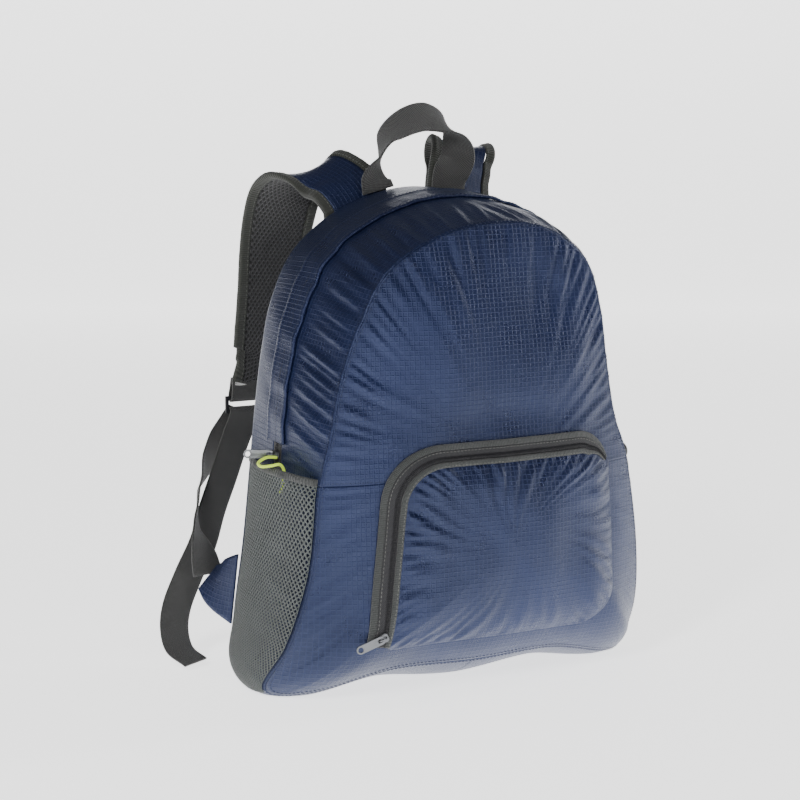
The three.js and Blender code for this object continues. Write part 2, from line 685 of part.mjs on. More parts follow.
// Pocket zip slider, at the bottom of the pocket's left side, its pull lying out to the left.
const POCKET_SLIDER_SHARE = 0.45;
const POCKET_PULL_LIE = 0.16;
const SLIDER_SEAT = 0.7;
const pocketSliderSeat = (along, inset) => {
  const { point, inward } = OUTLINE[ZIP_FIRST];
  const at = point.clone().lerp(OUTLINE[ZIP_FIRST + 1].point, along).addScaledVector(inward, inset);
  return onPocket(at.x, at.y, pocketLift(inset) + coilLift + COIL_THICK + SLIDER_SEAT, 0).outer;
};
const pocketSliderOut = (() => {
  const rise = pocketSliderSeat(0.9, coilMiddle).sub(pocketSliderSeat(0, coilMiddle));
  const run = pocketSliderSeat(0.45, coilMiddle + 3).sub(pocketSliderSeat(0.45, coilMiddle - 3));
  return rise.cross(run);
})();
addSlider(
  'pocket',
  pocketSliderSeat(POCKET_SLIDER_SHARE, coilMiddle),
  pocketSliderOut.multiplyScalar(-Math.sign(pocketSliderOut.y)),
  vector(-0.93, 0, -0.36),
  POCKET_PULL_LIE,
);

// Frames along a band of webbing from a table of places and of directions across the band.
function bandFrames(rows, steps) {
  const places = new THREE.CatmullRomCurve3(rows.map((row) => vector(...row.at)), false, 'centripetal');
  const last = rows.length - 1;
  const count = last * steps;
  const widthOf = (row) => row.width ?? 1;
  const centres = Array.from({ length: count + 1 }, (_, n) => places.getPoint(n / count));
  return centres.map((centre, n) => {
    const along = centres[Math.min(count, n + 1)].clone().sub(centres[Math.max(0, n - 1)]).normalize();
    const row = Math.min(Math.floor(n / steps), last - 1);
    const [here, next] = [rows[row], rows[row + 1]];
    const across = vector(...here.across).lerp(vector(...next.across), n / steps - row);
    across.addScaledVector(along, -across.dot(along)).normalize();
    const width = THREE.MathUtils.lerp(widthOf(here), widthOf(next), n / steps - row);
    return { centre, across, normal: along.clone().cross(across), width };
  });
}

// A closed profile of [across, normal] points swept along frames, with flat ends.
function sweep(frames, profileAt) {
  const rings = frames.map((frame) => profileAt(frame).map(([a, n]) => (
    frame.centre.clone().addScaledVector(frame.across, a).addScaledVector(frame.normal, n)
  )));
  const corners = [];
  for (let i = 0; i < rings.length - 1; i += 1) {
    const count = rings[i].length;
    for (let j = 0; j < count; j += 1) {
      const k = (j + 1) % count;
      const [here, next] = [profileAt(frames[i])[j], profileAt(frames[i])[k]];
      const rightward = here[0] < next[0] || (here[0] === next[0] && here[1] < next[1]);
      const [a, b, c, d] = [rings[i][j], rings[i][k], rings[i + 1][k], rings[i + 1][j]];
      if (rightward) corners.push(a, b, c, a, c, d);
      else corners.push(a, b, d, b, c, d);
    }
  }
  const cap = (frame, ring, flip) => {
    const flatRing = profileAt(frame).map(([a, n]) => new THREE.Vector2(a, n));
    THREE.ShapeUtils.triangulateShape(flatRing, []).forEach(([a, b, c]) => {
      corners.push(ring[a], ring[flip ? c : b], ring[flip ? b : c]);
    });
  };
  cap(frames[0], rings[0], true);
  cap(frames[frames.length - 1], rings[rings.length - 1], false);
  return closedGeometry(corners);
}

const flatProfile = (width, low, high) => [
  [-width / 2, low],
  [width / 2, low],
  [width / 2, high],
  [-width / 2, high],
];

// Mirror of a band's table, for the strap on the other side.
function mirrored(rows) {
  return rows.map((row) => ({
    ...row,
    at: [-row.at[0], row.at[1], row.at[2]],
    across: [row.across[0], -row.across[1], -row.across[2]],
  }));
}

// Grab handle of webbing: feet side by side over the back seam, turned over into an arch.
const HANDLE_WIDTH = 30;
const HANDLE_THICK = 1.8;
const HANDLE_ROUTE = [
  { at: [-31, 70.4, 397], across: [0.97, 0.03, 0.23] },
  { at: [-33, 70.8, 407], across: [0.95, 0.25, 0.2] },
  { at: [-28, 72, 423], across: [0.5, 0.86, 0.1] },
  { at: [-20, 73, 441], across: [0.2, 0.86, 0.45] },
  { at: [0, 73, 454], across: [0.05, 0.74, 0.66] },
  { at: [17, 72, 457], across: [0, 0.65, 0.75] },
  { at: [34, 71, 450], across: [-0.2, 0.7, 0.68] },
  { at: [44, 71, 436], across: [-0.45, 0.8, 0.4] },
  { at: [46, 72, 422], across: [-0.72, 0.68, 0.1] },
  { at: [38, 70.6, 408], across: [-0.96, 0.2, 0.2] },
  { at: [35.5, 70.3, 396], across: [-0.97, 0.03, 0.25] },
];
addPiece('grab_handle', sweep(
  bandFrames(HANDLE_ROUTE, 2),
  () => flatProfile(HANDLE_WIDTH, -HANDLE_THICK / 2, HANDLE_THICK / 2),
), cloth(WEBBING_GREY, 0.75));

// Shoulder straps: cloth outside, net pad inside, both edges bound in tape. The left strap's route.
const STRAP_WIDTH = 62;
const STRAP_PAD = 3.6;
const STRAP_CLOTH = 1.2;
const STRAP_BINDING = 0.7;
const STRAP_LIP = 8;
const LAYER_GAP = 0.3;
const EDGE_GAP = 0.8;
const STRAP_STEPS = 1.5;
const STRAP_ROUTE = [
  { at: [-47.5, 74.4, 374], across: [0.98, 0, 0.19] },
  { at: [-49, 75.4, 387], across: [0.97, 0, 0.2] },
  { at: [-55, 85, 402], across: [0.94, -0.06, 0.26] },
  { at: [-61, 97, 409], across: [0.91, -0.2, 0.3] },
  { at: [-69, 111, 412], across: [0.87, -0.32, 0.32] },
  { at: [-77, 127, 406], across: [0.86, -0.4, 0.28] },
  { at: [-82, 142, 391], across: [0.9, -0.38, 0.16] },
  { at: [-84, 151, 371], across: [0.95, -0.25, 0.04] },
  { at: [-86, 157, 345], across: [1, -0.1, 0] },
  { at: [-88, 160, 312], across: [1, 0, 0] },
  { at: [-91, 161, 276], across: [1, 0, 0] },
  { at: [-96, 161, 250], across: [1, 0.04, 0], width: 0.97 },
  { at: [-106, 159, 238], across: [1, 0.06, 0], width: 0.7 },
  { at: [-112, 158.5, 231.5], across: [1, 0.06, 0], width: 0.48 },
  { at: [-113, 158, 227.6], across: [1, 0.06, 0], width: 0.44 },
];

// The right strap rises flatter than the left. These rows take the place of as many at the crest.
const RIGHT_CREST_FIRST = 2;
const RIGHT_CREST = [
  { at: [54, 82, 406], across: [0.96, 0.08, -0.24] },
  { at: [62, 92, 420], across: [0.95, 0.2, -0.2] },
  { at: [69, 106, 428], across: [0.93, 0.32, -0.16] },
  { at: [76, 124, 423], across: [0.92, 0.36, -0.13] },
  { at: [80, 141, 402], across: [0.94, 0.32, -0.06] },
];

// Outline of the taped edge of a strap, on one side of it.
function bindingProfile(frame, side) {
  const edge = (STRAP_WIDTH / 2) * frame.width;
  const middle = side * (edge - STRAP_LIP / 2);
  const [low, high] = [-STRAP_CLOTH - LAYER_GAP - STRAP_BINDING, STRAP_PAD + STRAP_BINDING];
  return flatProfile(STRAP_LIP, low, high).map(([a, n]) => [a + middle, n]);
}

// Width of the strap between its taped edges.
function strapInner(frame) {
  return STRAP_WIDTH * frame.width - 2 * (STRAP_LIP + EDGE_GAP);
}

// Lower end of the left strap: a stub of webbing round the buckle's upper bar.
const WEBBING_WIDTH = 25;
const WEBBING_THICK = 1.5;
const BUCKLE_BAR = 3.2;
const BUCKLE_AT = [-117, 155, 214];
const BUCKLE_WINDOW = 8.4;
const BUCKLE_DEPTH = 2.2;
const TURN_PLAY = 0.7;
const TURN_RADIUS = BUCKLE_BAR / 2 + TURN_PLAY + WEBBING_THICK / 2;

// Adjusting webbing of the left strap: from the wing tab up behind, over the buckle's lower bar and
// down in front to its free end.
const WEBBING_BEHIND = [
  { at: [-171.5, 113.4, 78.6], across: [0.65, 0.05, 0.76] },
  { at: [-172.5, 118, 93], across: [0.78, 0.3, 0.5] },
  { at: [-175, 126, 116], across: [0.55, 0.83, 0] },
  { at: [-170, 135, 134], across: [0.4, 0.92, 0] },
  { at: [-163, 145, 150], across: [0.4, 0.92, 0] },
  { at: [-151, 155, 167], across: [0.8, 0.6, 0] },
  { at: [-138, 158.5, 184], across: [0.98, 0.2, 0] },
  { at: [-125, 159, 199], across: [1, 0, 0] },
];
const WEBBING_FRONT = [
  { at: [-121, 151.6, 198], across: [1, 0, 0] },
  { at: [-129, 149, 182], across: [0.98, 0, 0.2] },
  { at: [-141, 147, 153], across: [0.95, 0, 0.3] },
  { at: [-152, 146.5, 126], across: [0.93, 0, 0.36] },
  { at: [-161, 146, 99], across: [0.9, 0, 0.42] },
  { at: [-176, 144, 72], across: [0.9, 0, 0.42] },
  { at: [-189, 140, 47], across: [0.95, 0, 0.3] },
  { at: [-194, 134, 30], across: [1, 0, 0.05] },
  { at: [-194, 124, 15], across: [1, 0, -0.05] },
  { at: [-187, 106, 6.5], across: [1, 0.15, 0] },
];

function webbingRoute() {
  const [x, y, z] = BUCKLE_AT;
  const lower = z - BUCKLE_WINDOW / 2 - BUCKLE_BAR / 2;
  const turn = [-80, -40, 0, 40, 80].map((degrees) => {
    const angle = THREE.MathUtils.degToRad(degrees);
    return {
      at: [x - 1, y - TURN_RADIUS * Math.sin(angle), lower + TURN_RADIUS * Math.cos(angle)],
      across: [1, 0, 0],
    };
  });
  return [...WEBBING_BEHIND, ...turn, ...WEBBING_FRONT];
}

function stubRoute() {
  const [x, y, z] = BUCKLE_AT;
  const upper = z + BUCKLE_WINDOW / 2 + BUCKLE_BAR / 2;
  const turn = [80, 40, 0, -40, -80].map((degrees) => {
    const angle = THREE.MathUtils.degToRad(degrees);
    return {
      at: [x, y - TURN_RADIUS * Math.sin(angle), upper - TURN_RADIUS * Math.cos(angle)],
      across: [1, 0, 0],
    };
  });
  const rise = 226.8 - upper;
  return [
    { at: [x + 1.5, y - TURN_RADIUS, upper + rise], across: [1, 0, 0] },
    ...turn,
    { at: [x + 1.5, y + TURN_RADIUS + 1, upper + rise], across: [1, 0, 0] },
  ];
}

// Wing tab: a doubled triangle of cloth from the lower back seam out to the webbing.
const TAB_THICK = 2;
const TAB_ROUTE = [
  { at: [-167, 70.9, 74], across: [0.13, 0, 0.99], width: 58 },
  { at: [-172, 92, 74.5], across: [0.3, 0, 0.95], width: 42 },
  { at: [-172, 111.5, 76.5], across: [0.65, 0, 0.76], width: WEBBING_WIDTH },
];

function addStrap(side, route, turned) {
  const frames = bandFrames(route, STRAP_STEPS);
  addPiece(`strap_outer_${side}`, sweep(frames, (frame) => (
    flatProfile(strapInner(frame), -STRAP_CLOTH - LAYER_GAP, -LAYER_GAP)
  )), cloth(NAVY, 0.42));
  addPiece(`strap_pad_${side}`, sweep(frames, (frame) => (
    flatProfile(strapInner(frame), 0, STRAP_PAD)
  )), cloth('#141416', 0.9));
  const taped = cloth(TRIM_GREY, 0.8);
  addPiece(`strap_binding_${side}_a`, sweep(frames, (frame) => bindingProfile(frame, 1)), taped);
  addPiece(`strap_binding_${side}_b`, sweep(frames, (frame) => bindingProfile(frame, -1)), taped);

  const webbing = () => flatProfile(WEBBING_WIDTH, -WEBBING_THICK / 2, WEBBING_THICK / 2);
  const stub = sweep(bandFrames(turned(stubRoute()), 1), webbing);
  addPiece(`strap_stub_${side}`, stub, cloth(TAPE_BLACK, 0.8));
  const adjuster = sweep(bandFrames(turned(webbingRoute()), 1), webbing);
  addPiece(`adjust_webbing_${side}`, adjuster, cloth(WEBBING_GREY, 0.8));
  addPiece(`wing_tab_${side}`, sweep(bandFrames(turned(TAB_ROUTE), 2), (frame) => (
    flatProfile(frame.width, -TAB_THICK / 2, TAB_THICK / 2)
  )), cloth(NAVY_DARK, 0.5));

  const [halfWidth, rail] = [WEBBING_WIDTH / 2 + 1.5, 3];
  const halfHeight = BUCKLE_WINDOW / 2 + BUCKLE_BAR;
  const frame = new THREE.Shape();
  frame.moveTo(-halfWidth - rail, -halfHeight);
  frame.lineTo(halfWidth + rail, -halfHeight);
  frame.lineTo(halfWidth + rail, halfHeight);
  frame.lineTo(-halfWidth - rail, halfHeight);
  const window = new THREE.Path();
  window.moveTo(-halfWidth, -BUCKLE_WINDOW / 2);
  window.lineTo(-halfWidth, BUCKLE_WINDOW / 2);
  window.lineTo(halfWidth, BUCKLE_WINDOW / 2);
  window.lineTo(halfWidth, -BUCKLE_WINDOW / 2);
  frame.holes.push(window);
  const geometry = new THREE.ExtrudeGeometry(frame, { depth: BUCKLE_DEPTH, bevelEnabled: false });
  geometry.translate(0, 0, -BUCKLE_DEPTH / 2);
  geometry.rotateX(Math.PI / 2);
  const [place] = turned([{ at: BUCKLE_AT, across: [1, 0, 0] }]);
  geometry.translate(...place.at);
  addPiece(`strap_buckle_${side}`, toGeometry(toSolid(geometry)), cloth('#17171a', 0.45));
}

const RIGHT_ROUTE = mirrored(STRAP_ROUTE);
RIGHT_ROUTE.splice(RIGHT_CREST_FIRST, RIGHT_CREST.length, ...RIGHT_CREST);
addStrap('left', STRAP_ROUTE, (rows) => rows);
addStrap('right', RIGHT_ROUTE, mirrored);

// Cord on the main zip's slider, hanging over the binding into the left side pocket.
const CORD_DIAMETER = 2.4;
const CORD_SIDES = 8;
const CORD_STEPS = 16;
const CORD_ROUTE = [
  [-157, 9.2, 192],
  [-166, 8, 193],
  [-175, 5, 190],
  [-176, -2, 188],
  [-170, -8, 189],
  [-163, -9, 189.5],
  [-158.5, -7, 184],
  [-158, -4, 175],
  [-158, 0, 165],
];
addPiece('pull_cord', (() => {
  const curve = new THREE.CatmullRomCurve3(CORD_ROUTE.map((p) => vector(...p)));
  const section = new THREE.Shape();
  for (let n = 0; n < CORD_SIDES; n += 1) {
    const angle = (2 * Math.PI * n) / CORD_SIDES;
    const [x, y] = [(Math.cos(angle) * CORD_DIAMETER) / 2, (Math.sin(angle) * CORD_DIAMETER) / 2];
    if (n === 0) section.moveTo(x, y);
    else section.lineTo(x, y);
  }
  return new THREE.ExtrudeGeometry(section, { steps: CORD_STEPS, extrudePath: curve, bevelEnabled: false });
})(), cloth('#d6f02c', 0.6));

export default group;
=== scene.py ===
import math

import bmesh
import bpy
import numpy as np
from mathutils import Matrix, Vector
from mathutils.bvhtree import BVHTree


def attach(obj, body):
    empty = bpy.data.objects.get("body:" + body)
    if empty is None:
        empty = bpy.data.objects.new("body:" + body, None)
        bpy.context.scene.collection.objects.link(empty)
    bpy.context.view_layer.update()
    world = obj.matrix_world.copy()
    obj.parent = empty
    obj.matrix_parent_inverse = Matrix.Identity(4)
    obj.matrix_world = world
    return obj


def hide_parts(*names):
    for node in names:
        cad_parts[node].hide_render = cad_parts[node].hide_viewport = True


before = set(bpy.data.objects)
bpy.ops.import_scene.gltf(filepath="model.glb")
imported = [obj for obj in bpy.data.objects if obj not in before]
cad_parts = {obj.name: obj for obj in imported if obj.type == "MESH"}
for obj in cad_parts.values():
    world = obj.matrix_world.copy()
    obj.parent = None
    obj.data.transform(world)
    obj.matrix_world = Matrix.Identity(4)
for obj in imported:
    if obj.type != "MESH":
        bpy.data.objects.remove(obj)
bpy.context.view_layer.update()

# Camera
# It stands left of the front and a little above the bag, far off, as for a shop photograph.
camera_data = bpy.data.cameras.new("camera")
camera_data.lens = 110.5
camera_data.sensor_width = 36.0
camera_data.shift_x = -0.0661
camera_data.shift_y = 0.042
camera = bpy.data.objects.new("camera", camera_data)
camera.location = (-1.0, -1.732, 0.52)
camera.rotation_euler = (Vector((0, 0, 0.2)) - camera.location).to_track_quat("-Z", "Y").to_euler()
bpy.context.collection.objects.link(camera)
bpy.context.scene.camera = camera

# Zip pull cord
# A loop of neon braid tied through the main zip's slider. It bends over the edge of the left net
# pocket and its end hangs inside.
CORD_DIAMETER = 2.4
CORD_ROUTE = [
    (-157, 9.2, 192),
    (-166, 8, 193),
    (-175, 5, 190),
    (-176, -2, 188),
    (-170, -8, 189),
    (-163, -9, 189.5),
    (-158.5, -7, 184),
    (-158, -4, 175),
    (-158, 0, 165),
]


class Thread:
    """A socket in a material's tree. Sums of threads add Math nodes, node() adds any other node."""

    def __init__(self, tree, socket=None):
        self.tree = tree
        self.socket = socket

    def node(self, kind, settings=(), inputs=(), out=0):
        made = self.tree.nodes.new(kind)
        for key, value in dict(settings).items():
            if key == "stops":
                ramp = made.color_ramp
                while len(ramp.elements) < len(value):
                    ramp.elements.new(0.5)
                for element, (at, color) in zip(ramp.elements, value):
                    element.position = at
                    element.color = (*color, 1.0)
            else:
                setattr(made, key, value)
        for key, value in dict(inputs).items():
            if isinstance(value, Thread):
                self.tree.links.new(value.socket, made.inputs[key])
            else:
                made.inputs[key].default_value = value
        return Thread(self.tree, made.outputs[out])

    def maths(self, operation, *values):
        return self.node("ShaderNodeMath", {"operation": operation}, dict(enumerate(values)))

    def __add__(self, other):
        return self.maths("ADD", self, other)

    def __radd__(self, other):
        return self.maths("ADD", other, self)

    def __sub__(self, other):
        return self.maths("SUBTRACT", self, other)

    def __rsub__(self, other):
        return self.maths("SUBTRACT", other, self)

    def __mul__(self, other):
        return self.maths("MULTIPLY", self, other)

    def __rmul__(self, other):
        return self.maths("MULTIPLY", other, self)

    def __truediv__(self, other):
        return self.maths("DIVIDE", self, other)

    def sine(self):
        return self.maths("SINE", self)

    def pingpong(self, half):
        return self.maths("PINGPONG", self, half)

    def ramp(self, low, high, to_low=0.0, to_high=1.0):
        """Eased step from one value to another."""
        return self.node(
            "ShaderNodeMapRange",
            {"interpolation_type": "SMOOTHSTEP"},
            {"Value": self, "From Min": low, "From Max": high, "To Min": to_low, "To Max": to_high},
        )

    def mix(self, color_a, color_b):
        """Color between two colors, by this thread."""
        return self.node(
            "ShaderNodeMix",
            {"data_type": "RGBA"},
            {"Factor": self, 6: color_a, 7: color_b},
            out=2,
        )


class Finish:
    """One material: its shader, and the threads that its patterns start from."""

    def __init__(self, name, roughness=0.6, metallic=0.0, sheen=0.0, sheen_tint=(1, 1, 1), specular=0.5):
        self.material = bpy.data.materials.new(name)
        self.material.use_nodes = True
        self.tree = self.material.node_tree
        self.skin = self.tree.nodes["Principled BSDF"]
        self.skin.inputs["Roughness"].default_value = roughness
        self.skin.inputs["Metallic"].default_value = metallic
        self.skin.inputs["Sheen Weight"].default_value = sheen
        self.skin.inputs["Sheen Tint"].default_value = (*sheen_tint, 1.0)
        self.skin.inputs["Specular IOR Level"].default_value = specular
        self.start = Thread(self.tree)

    def place(self):
        """Object coordinates."""
        return self.start.node("ShaderNodeTexCoord", out="Object")

    def flat(self):
        """Across and along the cloth, in metres, from the piece's own map."""
        uv = self.start.node("ShaderNodeUVMap", {"uv_map": "cloth"})
        parts = uv.node("ShaderNodeSeparateXYZ", inputs={0: uv})
        owner = parts.socket.node
        return Thread(self.tree, owner.outputs[0]), Thread(self.tree, owner.outputs[1])

    def cloud(self, vector, scale, detail=3.0, roughness=0.5):
        """Soft noise from 0 to 1."""
        return self.start.node(
            "ShaderNodeTexNoise",
            {"noise_dimensions": "3D"},
            {"Vector": vector, "Scale": scale, "Detail": detail, "Roughness": roughness},
        )

    def wear(self, name, thread):
        self.tree.links.new(thread.socket, self.skin.inputs[name])

    def bump(self, height, distance, strength=1.0, under=None):
        inputs = {"Height": height, "Distance": distance, "Strength": strength}
        if under is not None:
            inputs["Normal"] = under
        return self.start.node("ShaderNodeBump", {}, inputs)


def braid_finish():
    braid = Finish("neon_braid_painted_glow", roughness=0.55, sheen=0.4)
    across, along = braid.flat()
    strand = (across * (6.283 / 0.0025) + along * (6.283 / 0.0022)).sine()
    counter = (across * (6.283 / 0.0025) - along * (6.283 / 0.0022)).sine()
    lay = (strand * counter).ramp(-0.7, 0.7)
    braid.wear("Base Color", lay.mix((0.42, 0.6, 0.01, 1), (0.8, 1.0, 0.06, 1)))
    braid.wear("Normal", braid.bump(lay, 0.0004))
    # The braid's emission is a painted glow: it brightens the cord, which is no lamp.
    braid.skin.inputs["Emission Color"].default_value = (0.7, 1.0, 0.03, 1)
    braid.skin.inputs["Emission Strength"].default_value = 0.45
    return braid.material


def centripetal(points, per_row):
    """A smooth line through points, with as many steps between one point and the next."""
    points = np.array(points, float)
    held = np.vstack([2 * points[0] - points[1], points, 2 * points[-1] - points[-2]])
    line = []
    for n in range(len(points) - 1):
        a, b, c, d = held[n : n + 4]
        before, middle, after = (
            max(np.linalg.norm(q - p), 1e-6) ** 0.5 for p, q in ((a, b), (b, c), (c, d))
        )
        leave = ((b - a) / before - (c - a) / (before + middle) + (c - b) / middle) * middle
        arrive = ((c - b) / middle - (d - b) / (middle + after) + (d - c) / after) * middle
        steps = np.arange(per_row)[:, None] / per_row
        line.append(
            b
            + steps * leave
            + steps**2 * (3 * (c - b) - 2 * leave - arrive)
            + steps**3 * (2 * (b - c) + leave + arrive)
        )
    return np.vstack([*line, points[-1:]])


def lengths_along(line):
    return np.concatenate([[0], np.cumsum(np.linalg.norm(np.diff(line, axis=0), axis=1))])


def build_mesh(name, points, faces, uv, material):
    """A mesh object at the origin from points in millimetres, with one map value for each point."""
    mesh = bpy.data.meshes.new(name)
    mesh.from_pydata((np.asarray(points) * 0.001).tolist(), [], faces)
    corners = np.zeros(len(mesh.loops), np.int32)
    mesh.loops.foreach_get("vertex_index", corners)
    layer = mesh.uv_layers.new(name="cloth")
    layer.data.foreach_set("uv", (np.asarray(uv, float)[corners] * 0.001).ravel())
    mesh.polygons.foreach_set("use_smooth", np.ones(len(mesh.polygons), bool))
    mesh.materials.append(material)
    mesh.update()
    shape = bmesh.new()
    shape.from_mesh(mesh)
    bmesh.ops.remove_doubles(shape, verts=shape.verts, dist=1e-6)
    if shape.calc_volume(signed=True) < 0:
        bmesh.ops.reverse_faces(shape, faces=shape.faces)
    shape.to_mesh(mesh)
    shape.free()
    piece = bpy.data.objects.new(name, mesh)
    bpy.context.collection.objects.link(piece)
    return piece


def tube(name, line, radius, sides, material):
    """A round tube along a line, closed by fans at both ends."""
    along = np.gradient(line, axis=0)
    along /= np.linalg.norm(along, axis=1)[:, None]
    side = np.cross(along[0], (0.3, 0.2, 1))
    rings = []
    for centre, way in zip(line, along):
        side = side - way * side.dot(way)
        side /= np.linalg.norm(side)
        other = np.cross(way, side)
        turns = np.linspace(0, 2 * np.pi, sides, endpoint=False)[:, None]
        rings.append(centre + radius * (np.cos(turns) * side + np.sin(turns) * other))
    count = len(line)
    points = np.vstack([*rings, line[:1] - along[:1] * radius * 0.5, line[-1:] + along[-1:] * radius * 0.5])
    faces = []
    for i in range(count - 1):
        for j in range(sides):
            k = (j + 1) % sides
            faces.append((i * sides + j, i * sides + k, (i + 1) * sides + k, (i + 1) * sides + j))
    for j in range(sides):
        k = (j + 1) % sides
        faces.append((count * sides, k, j))
        faces.append((count * sides + 1, (count - 1) * sides + j, (count - 1) * sides + k))
    far = lengths_along(line)
    round_way = np.arange(sides) * 2 * np.pi * radius / sides
    uv = np.array([(r, d) for d in far for r in round_way] + [(0, 0), (0, far[-1])])
    return build_mesh(name, points, faces, uv, material)


cord_line = centripetal(CORD_ROUTE, 6)
cord = tube("pull_cord_braid", cord_line, CORD_DIAMETER / 2, 16, braid_finish())
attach(cord, "root")
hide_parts("pull_cord")
float(lengths_along(cord_line)[-1]) * 0.001

# Bag panels
# The body is cut from thin ripstop nylon: a back, a gusset round the sides and crown with the main
# zip let in, a base, and a front in two parts. All are sewn edge to edge, and the thread draws the
# cloth into gathers beside the front seam.
BAG_HEIGHT = 400
BAG_HALF_WIDTH = 165
BACK_SEAM_DEPTH = 70
FRONT_SEAM_DEPTH = 60
FLARE_HEIGHT = 178
BACK_DOME = 8
FRONT_DOME = 20
GUSSET_SWELL = 9
CLOTH = 1.3
STATIONS = 96
HALF_STATIONS = 48
WAIST = 24
LEFT_WAIST = STATIONS - WAIST
SECTION_COLUMNS = (
    "back_side",
    "back_high",
    "front_side",
    "front_high",
    "depth",
    "lean",
    "swell",
    "roll",
    "gather",
)
SECTIONS = np.array(
    [
        (0, 0.006, 0, 0.052, 0.80, -0.04, 1.75, 6, 0),
        (0.46, 0.006, 0.45, 0.054, 0.76, -0.04, 1.1, 6, 0),
        (0.84, 0.006, 0.84, 0.018, 0.50, -0.04, 1.2, 6, 0.1),
        (1.03, 0.045, 1.03, 0.018, 0.10, -0.04, 0.8, 6, 0.3),
        (1.02, 0.14, 0.99, 0.125, 0.64, -0.04, 0.3, 4.5, 0.3),
        (0.965, 0.29, 0.925, 0.27, 0.88, -0.03, 0, 3.6, 0.3),
        (0.92, 0.455, 0.865, 0.445, 0.95, -0.05, 0.2, 3.2, 0.5),
        (0.89, 0.565, 0.795, 0.54, 1, -0.07, 0.8, 3, 0.9),
        (0.85, 0.68, 0.74, 0.655, 1, -0.065, 1, 3, 1),
        (0.79, 0.785, 0.665, 0.765, 1, -0.03, 1, 2.8, 1),
        (0.655, 0.885, 0.55, 0.86, 1, 0, 0.9, 2.6, 1),
        (0.375, 0.965, 0.30, 0.925, 1, 0.04, 0.7, 2.6, 0.8),
        (0, 1.0, 0, 0.945, 1, 0.06, 0.6, 2.6, 0.6),
    ]
)
FRONT_DENTS = [
    # side, high, wide, tall, push
    (-0.62, 0.60, 0.16, 0.20, 4),
    (-0.30, 0.68, 0.16, 0.18, -4),
    (0.40, 0.80, 0.28, 0.08, 5),
    (0.05, 0.56, 0.40, 0.04, 4),
]


def section(name, t, odd=False):
    """Smooth value of a table column at fractional rows."""
    column = SECTIONS[:, SECTION_COLUMNS.index(name)]
    flip = -1 if odd else 1
    held = np.concatenate([[flip * column[1]], column, [flip * column[-2]]])
    n = np.clip(np.floor(t).astype(int), 0, len(column) - 2)
    f = t - n
    a, b, c, d = held[n], held[n + 1], held[n + 2], held[n + 3]
    leave, arrive = (c - a) / 2, (d - b) / 2
    return b + f * (leave + f * (3 * (c - b) - 2 * leave - arrive + f * (2 * (b - c) + leave + arrive)))


def station_place(k):
    along = np.mod(k, STATIONS)
    right = along <= HALF_STATIONS
    return np.where(right, along, STATIONS - along) / 4, np.where(right, 1, -1)


def seam_pair(k):
    t, sign = station_place(k)
    lean = section("lean", t) * BAG_HALF_WIDTH
    back = np.stack(
        [
            sign * section("back_side", t, True) * BAG_HALF_WIDTH,
            np.full(np.shape(t), float(BACK_SEAM_DEPTH)),
            section("back_high", t) * BAG_HEIGHT,
        ],
        axis=-1,
    )
    front = np.stack(
        [
            sign * section("front_side", t, True) * BAG_HALF_WIDTH + lean,
            -section("depth", t) * FRONT_SEAM_DEPTH,
            section("front_high", t) * BAG_HEIGHT,
        ],
        axis=-1,
    )
    return back, front, t


def fold_noise(x, seed):
    """Smooth irregular waves from -1 to 1 along a line, about one to each unit."""
    rng = np.random.default_rng(seed)
    values = rng.uniform(-1, 1, 512)
    values[1::2] = -np.abs(values[1::2]) * 0.9
    values[0::2] = np.abs(values[0::2])
    x = np.asarray(x, float) * 2 + 0.35 * np.sin(np.asarray(x) * 1.31 + seed)
    n = np.floor(x).astype(int)
    f = x - n
    ease = f * f * (3 - 2 * f)
    return values[n % 512] * (1 - ease) + values[(n + 1) % 512] * ease


def drift_noise(x, z, seed):
    """Smooth irregular hills from -1 to 1 over a plane, about one to each unit."""
    values = np.random.default_rng(seed).uniform(-1, 1, (64, 64))
    i, j = np.floor(x).astype(int), np.floor(z).astype(int)
    f, g = x - i, z - j
    f, g = f * f * (3 - 2 * f), g * g * (3 - 2 * g)
    near = values[i % 64, j % 64] * (1 - f) + values[(i + 1) % 64, j % 64] * f
    far = values[i % 64, (j + 1) % 64] * (1 - f) + values[(i + 1) % 64, (j + 1) % 64] * f
    return near * (1 - g) + far * g


seam_stations = np.linspace(0, STATIONS, 961)
seam_lengths = lengths_along(seam_pair(seam_stations)[1])


def seam_length(k):
    return np.interp(np.mod(k, STATIONS), seam_stations, seam_lengths)


def gusset(k, share, lift=0.0):
    """Points of the gusset and base, from the back seam at share 0 to the front seam at 1."""
    k, share = np.broadcast_arrays(np.asarray(k, float), np.asarray(share, float))
    back, front, t = seam_pair(k)
    before, after = seam_pair(k - 0.5), seam_pair(k + 0.5)
    along = after[0] + after[1] - before[0] - before[1]
    outward = np.stack([along[..., 2], np.zeros(k.shape), -along[..., 0]], axis=-1)
    outward /= np.linalg.norm(outward, axis=-1)[..., None]
    swell = 4 * share * (1 - share) * section("swell", t) * GUSSET_SWELL
    run = seam_length(k) + 34 * (1 - share) * np.where(np.mod(k, STATIONS) > HALF_STATIONS, 1, -1)
    reach = np.clip((share - 0.46) / 0.54, 0, 1)
    hold = np.sin(np.pi * reach**1.6)
    gather = np.maximum(section("gather", t), 0) ** 1.5
    folds = gather * hold * (3.4 * fold_noise(run / 17, 3) + 1.3 * fold_noise(run / 8.5, 8))
    slack = 0.9 * gather * np.sin(np.pi * share) * fold_noise(run / 31, 5)
    high = swell + folds + slack + lift
    points = back + (front - back) * share[..., None] + outward * high[..., None]
    points[..., 2] = np.maximum(points[..., 2], 0)
    return points


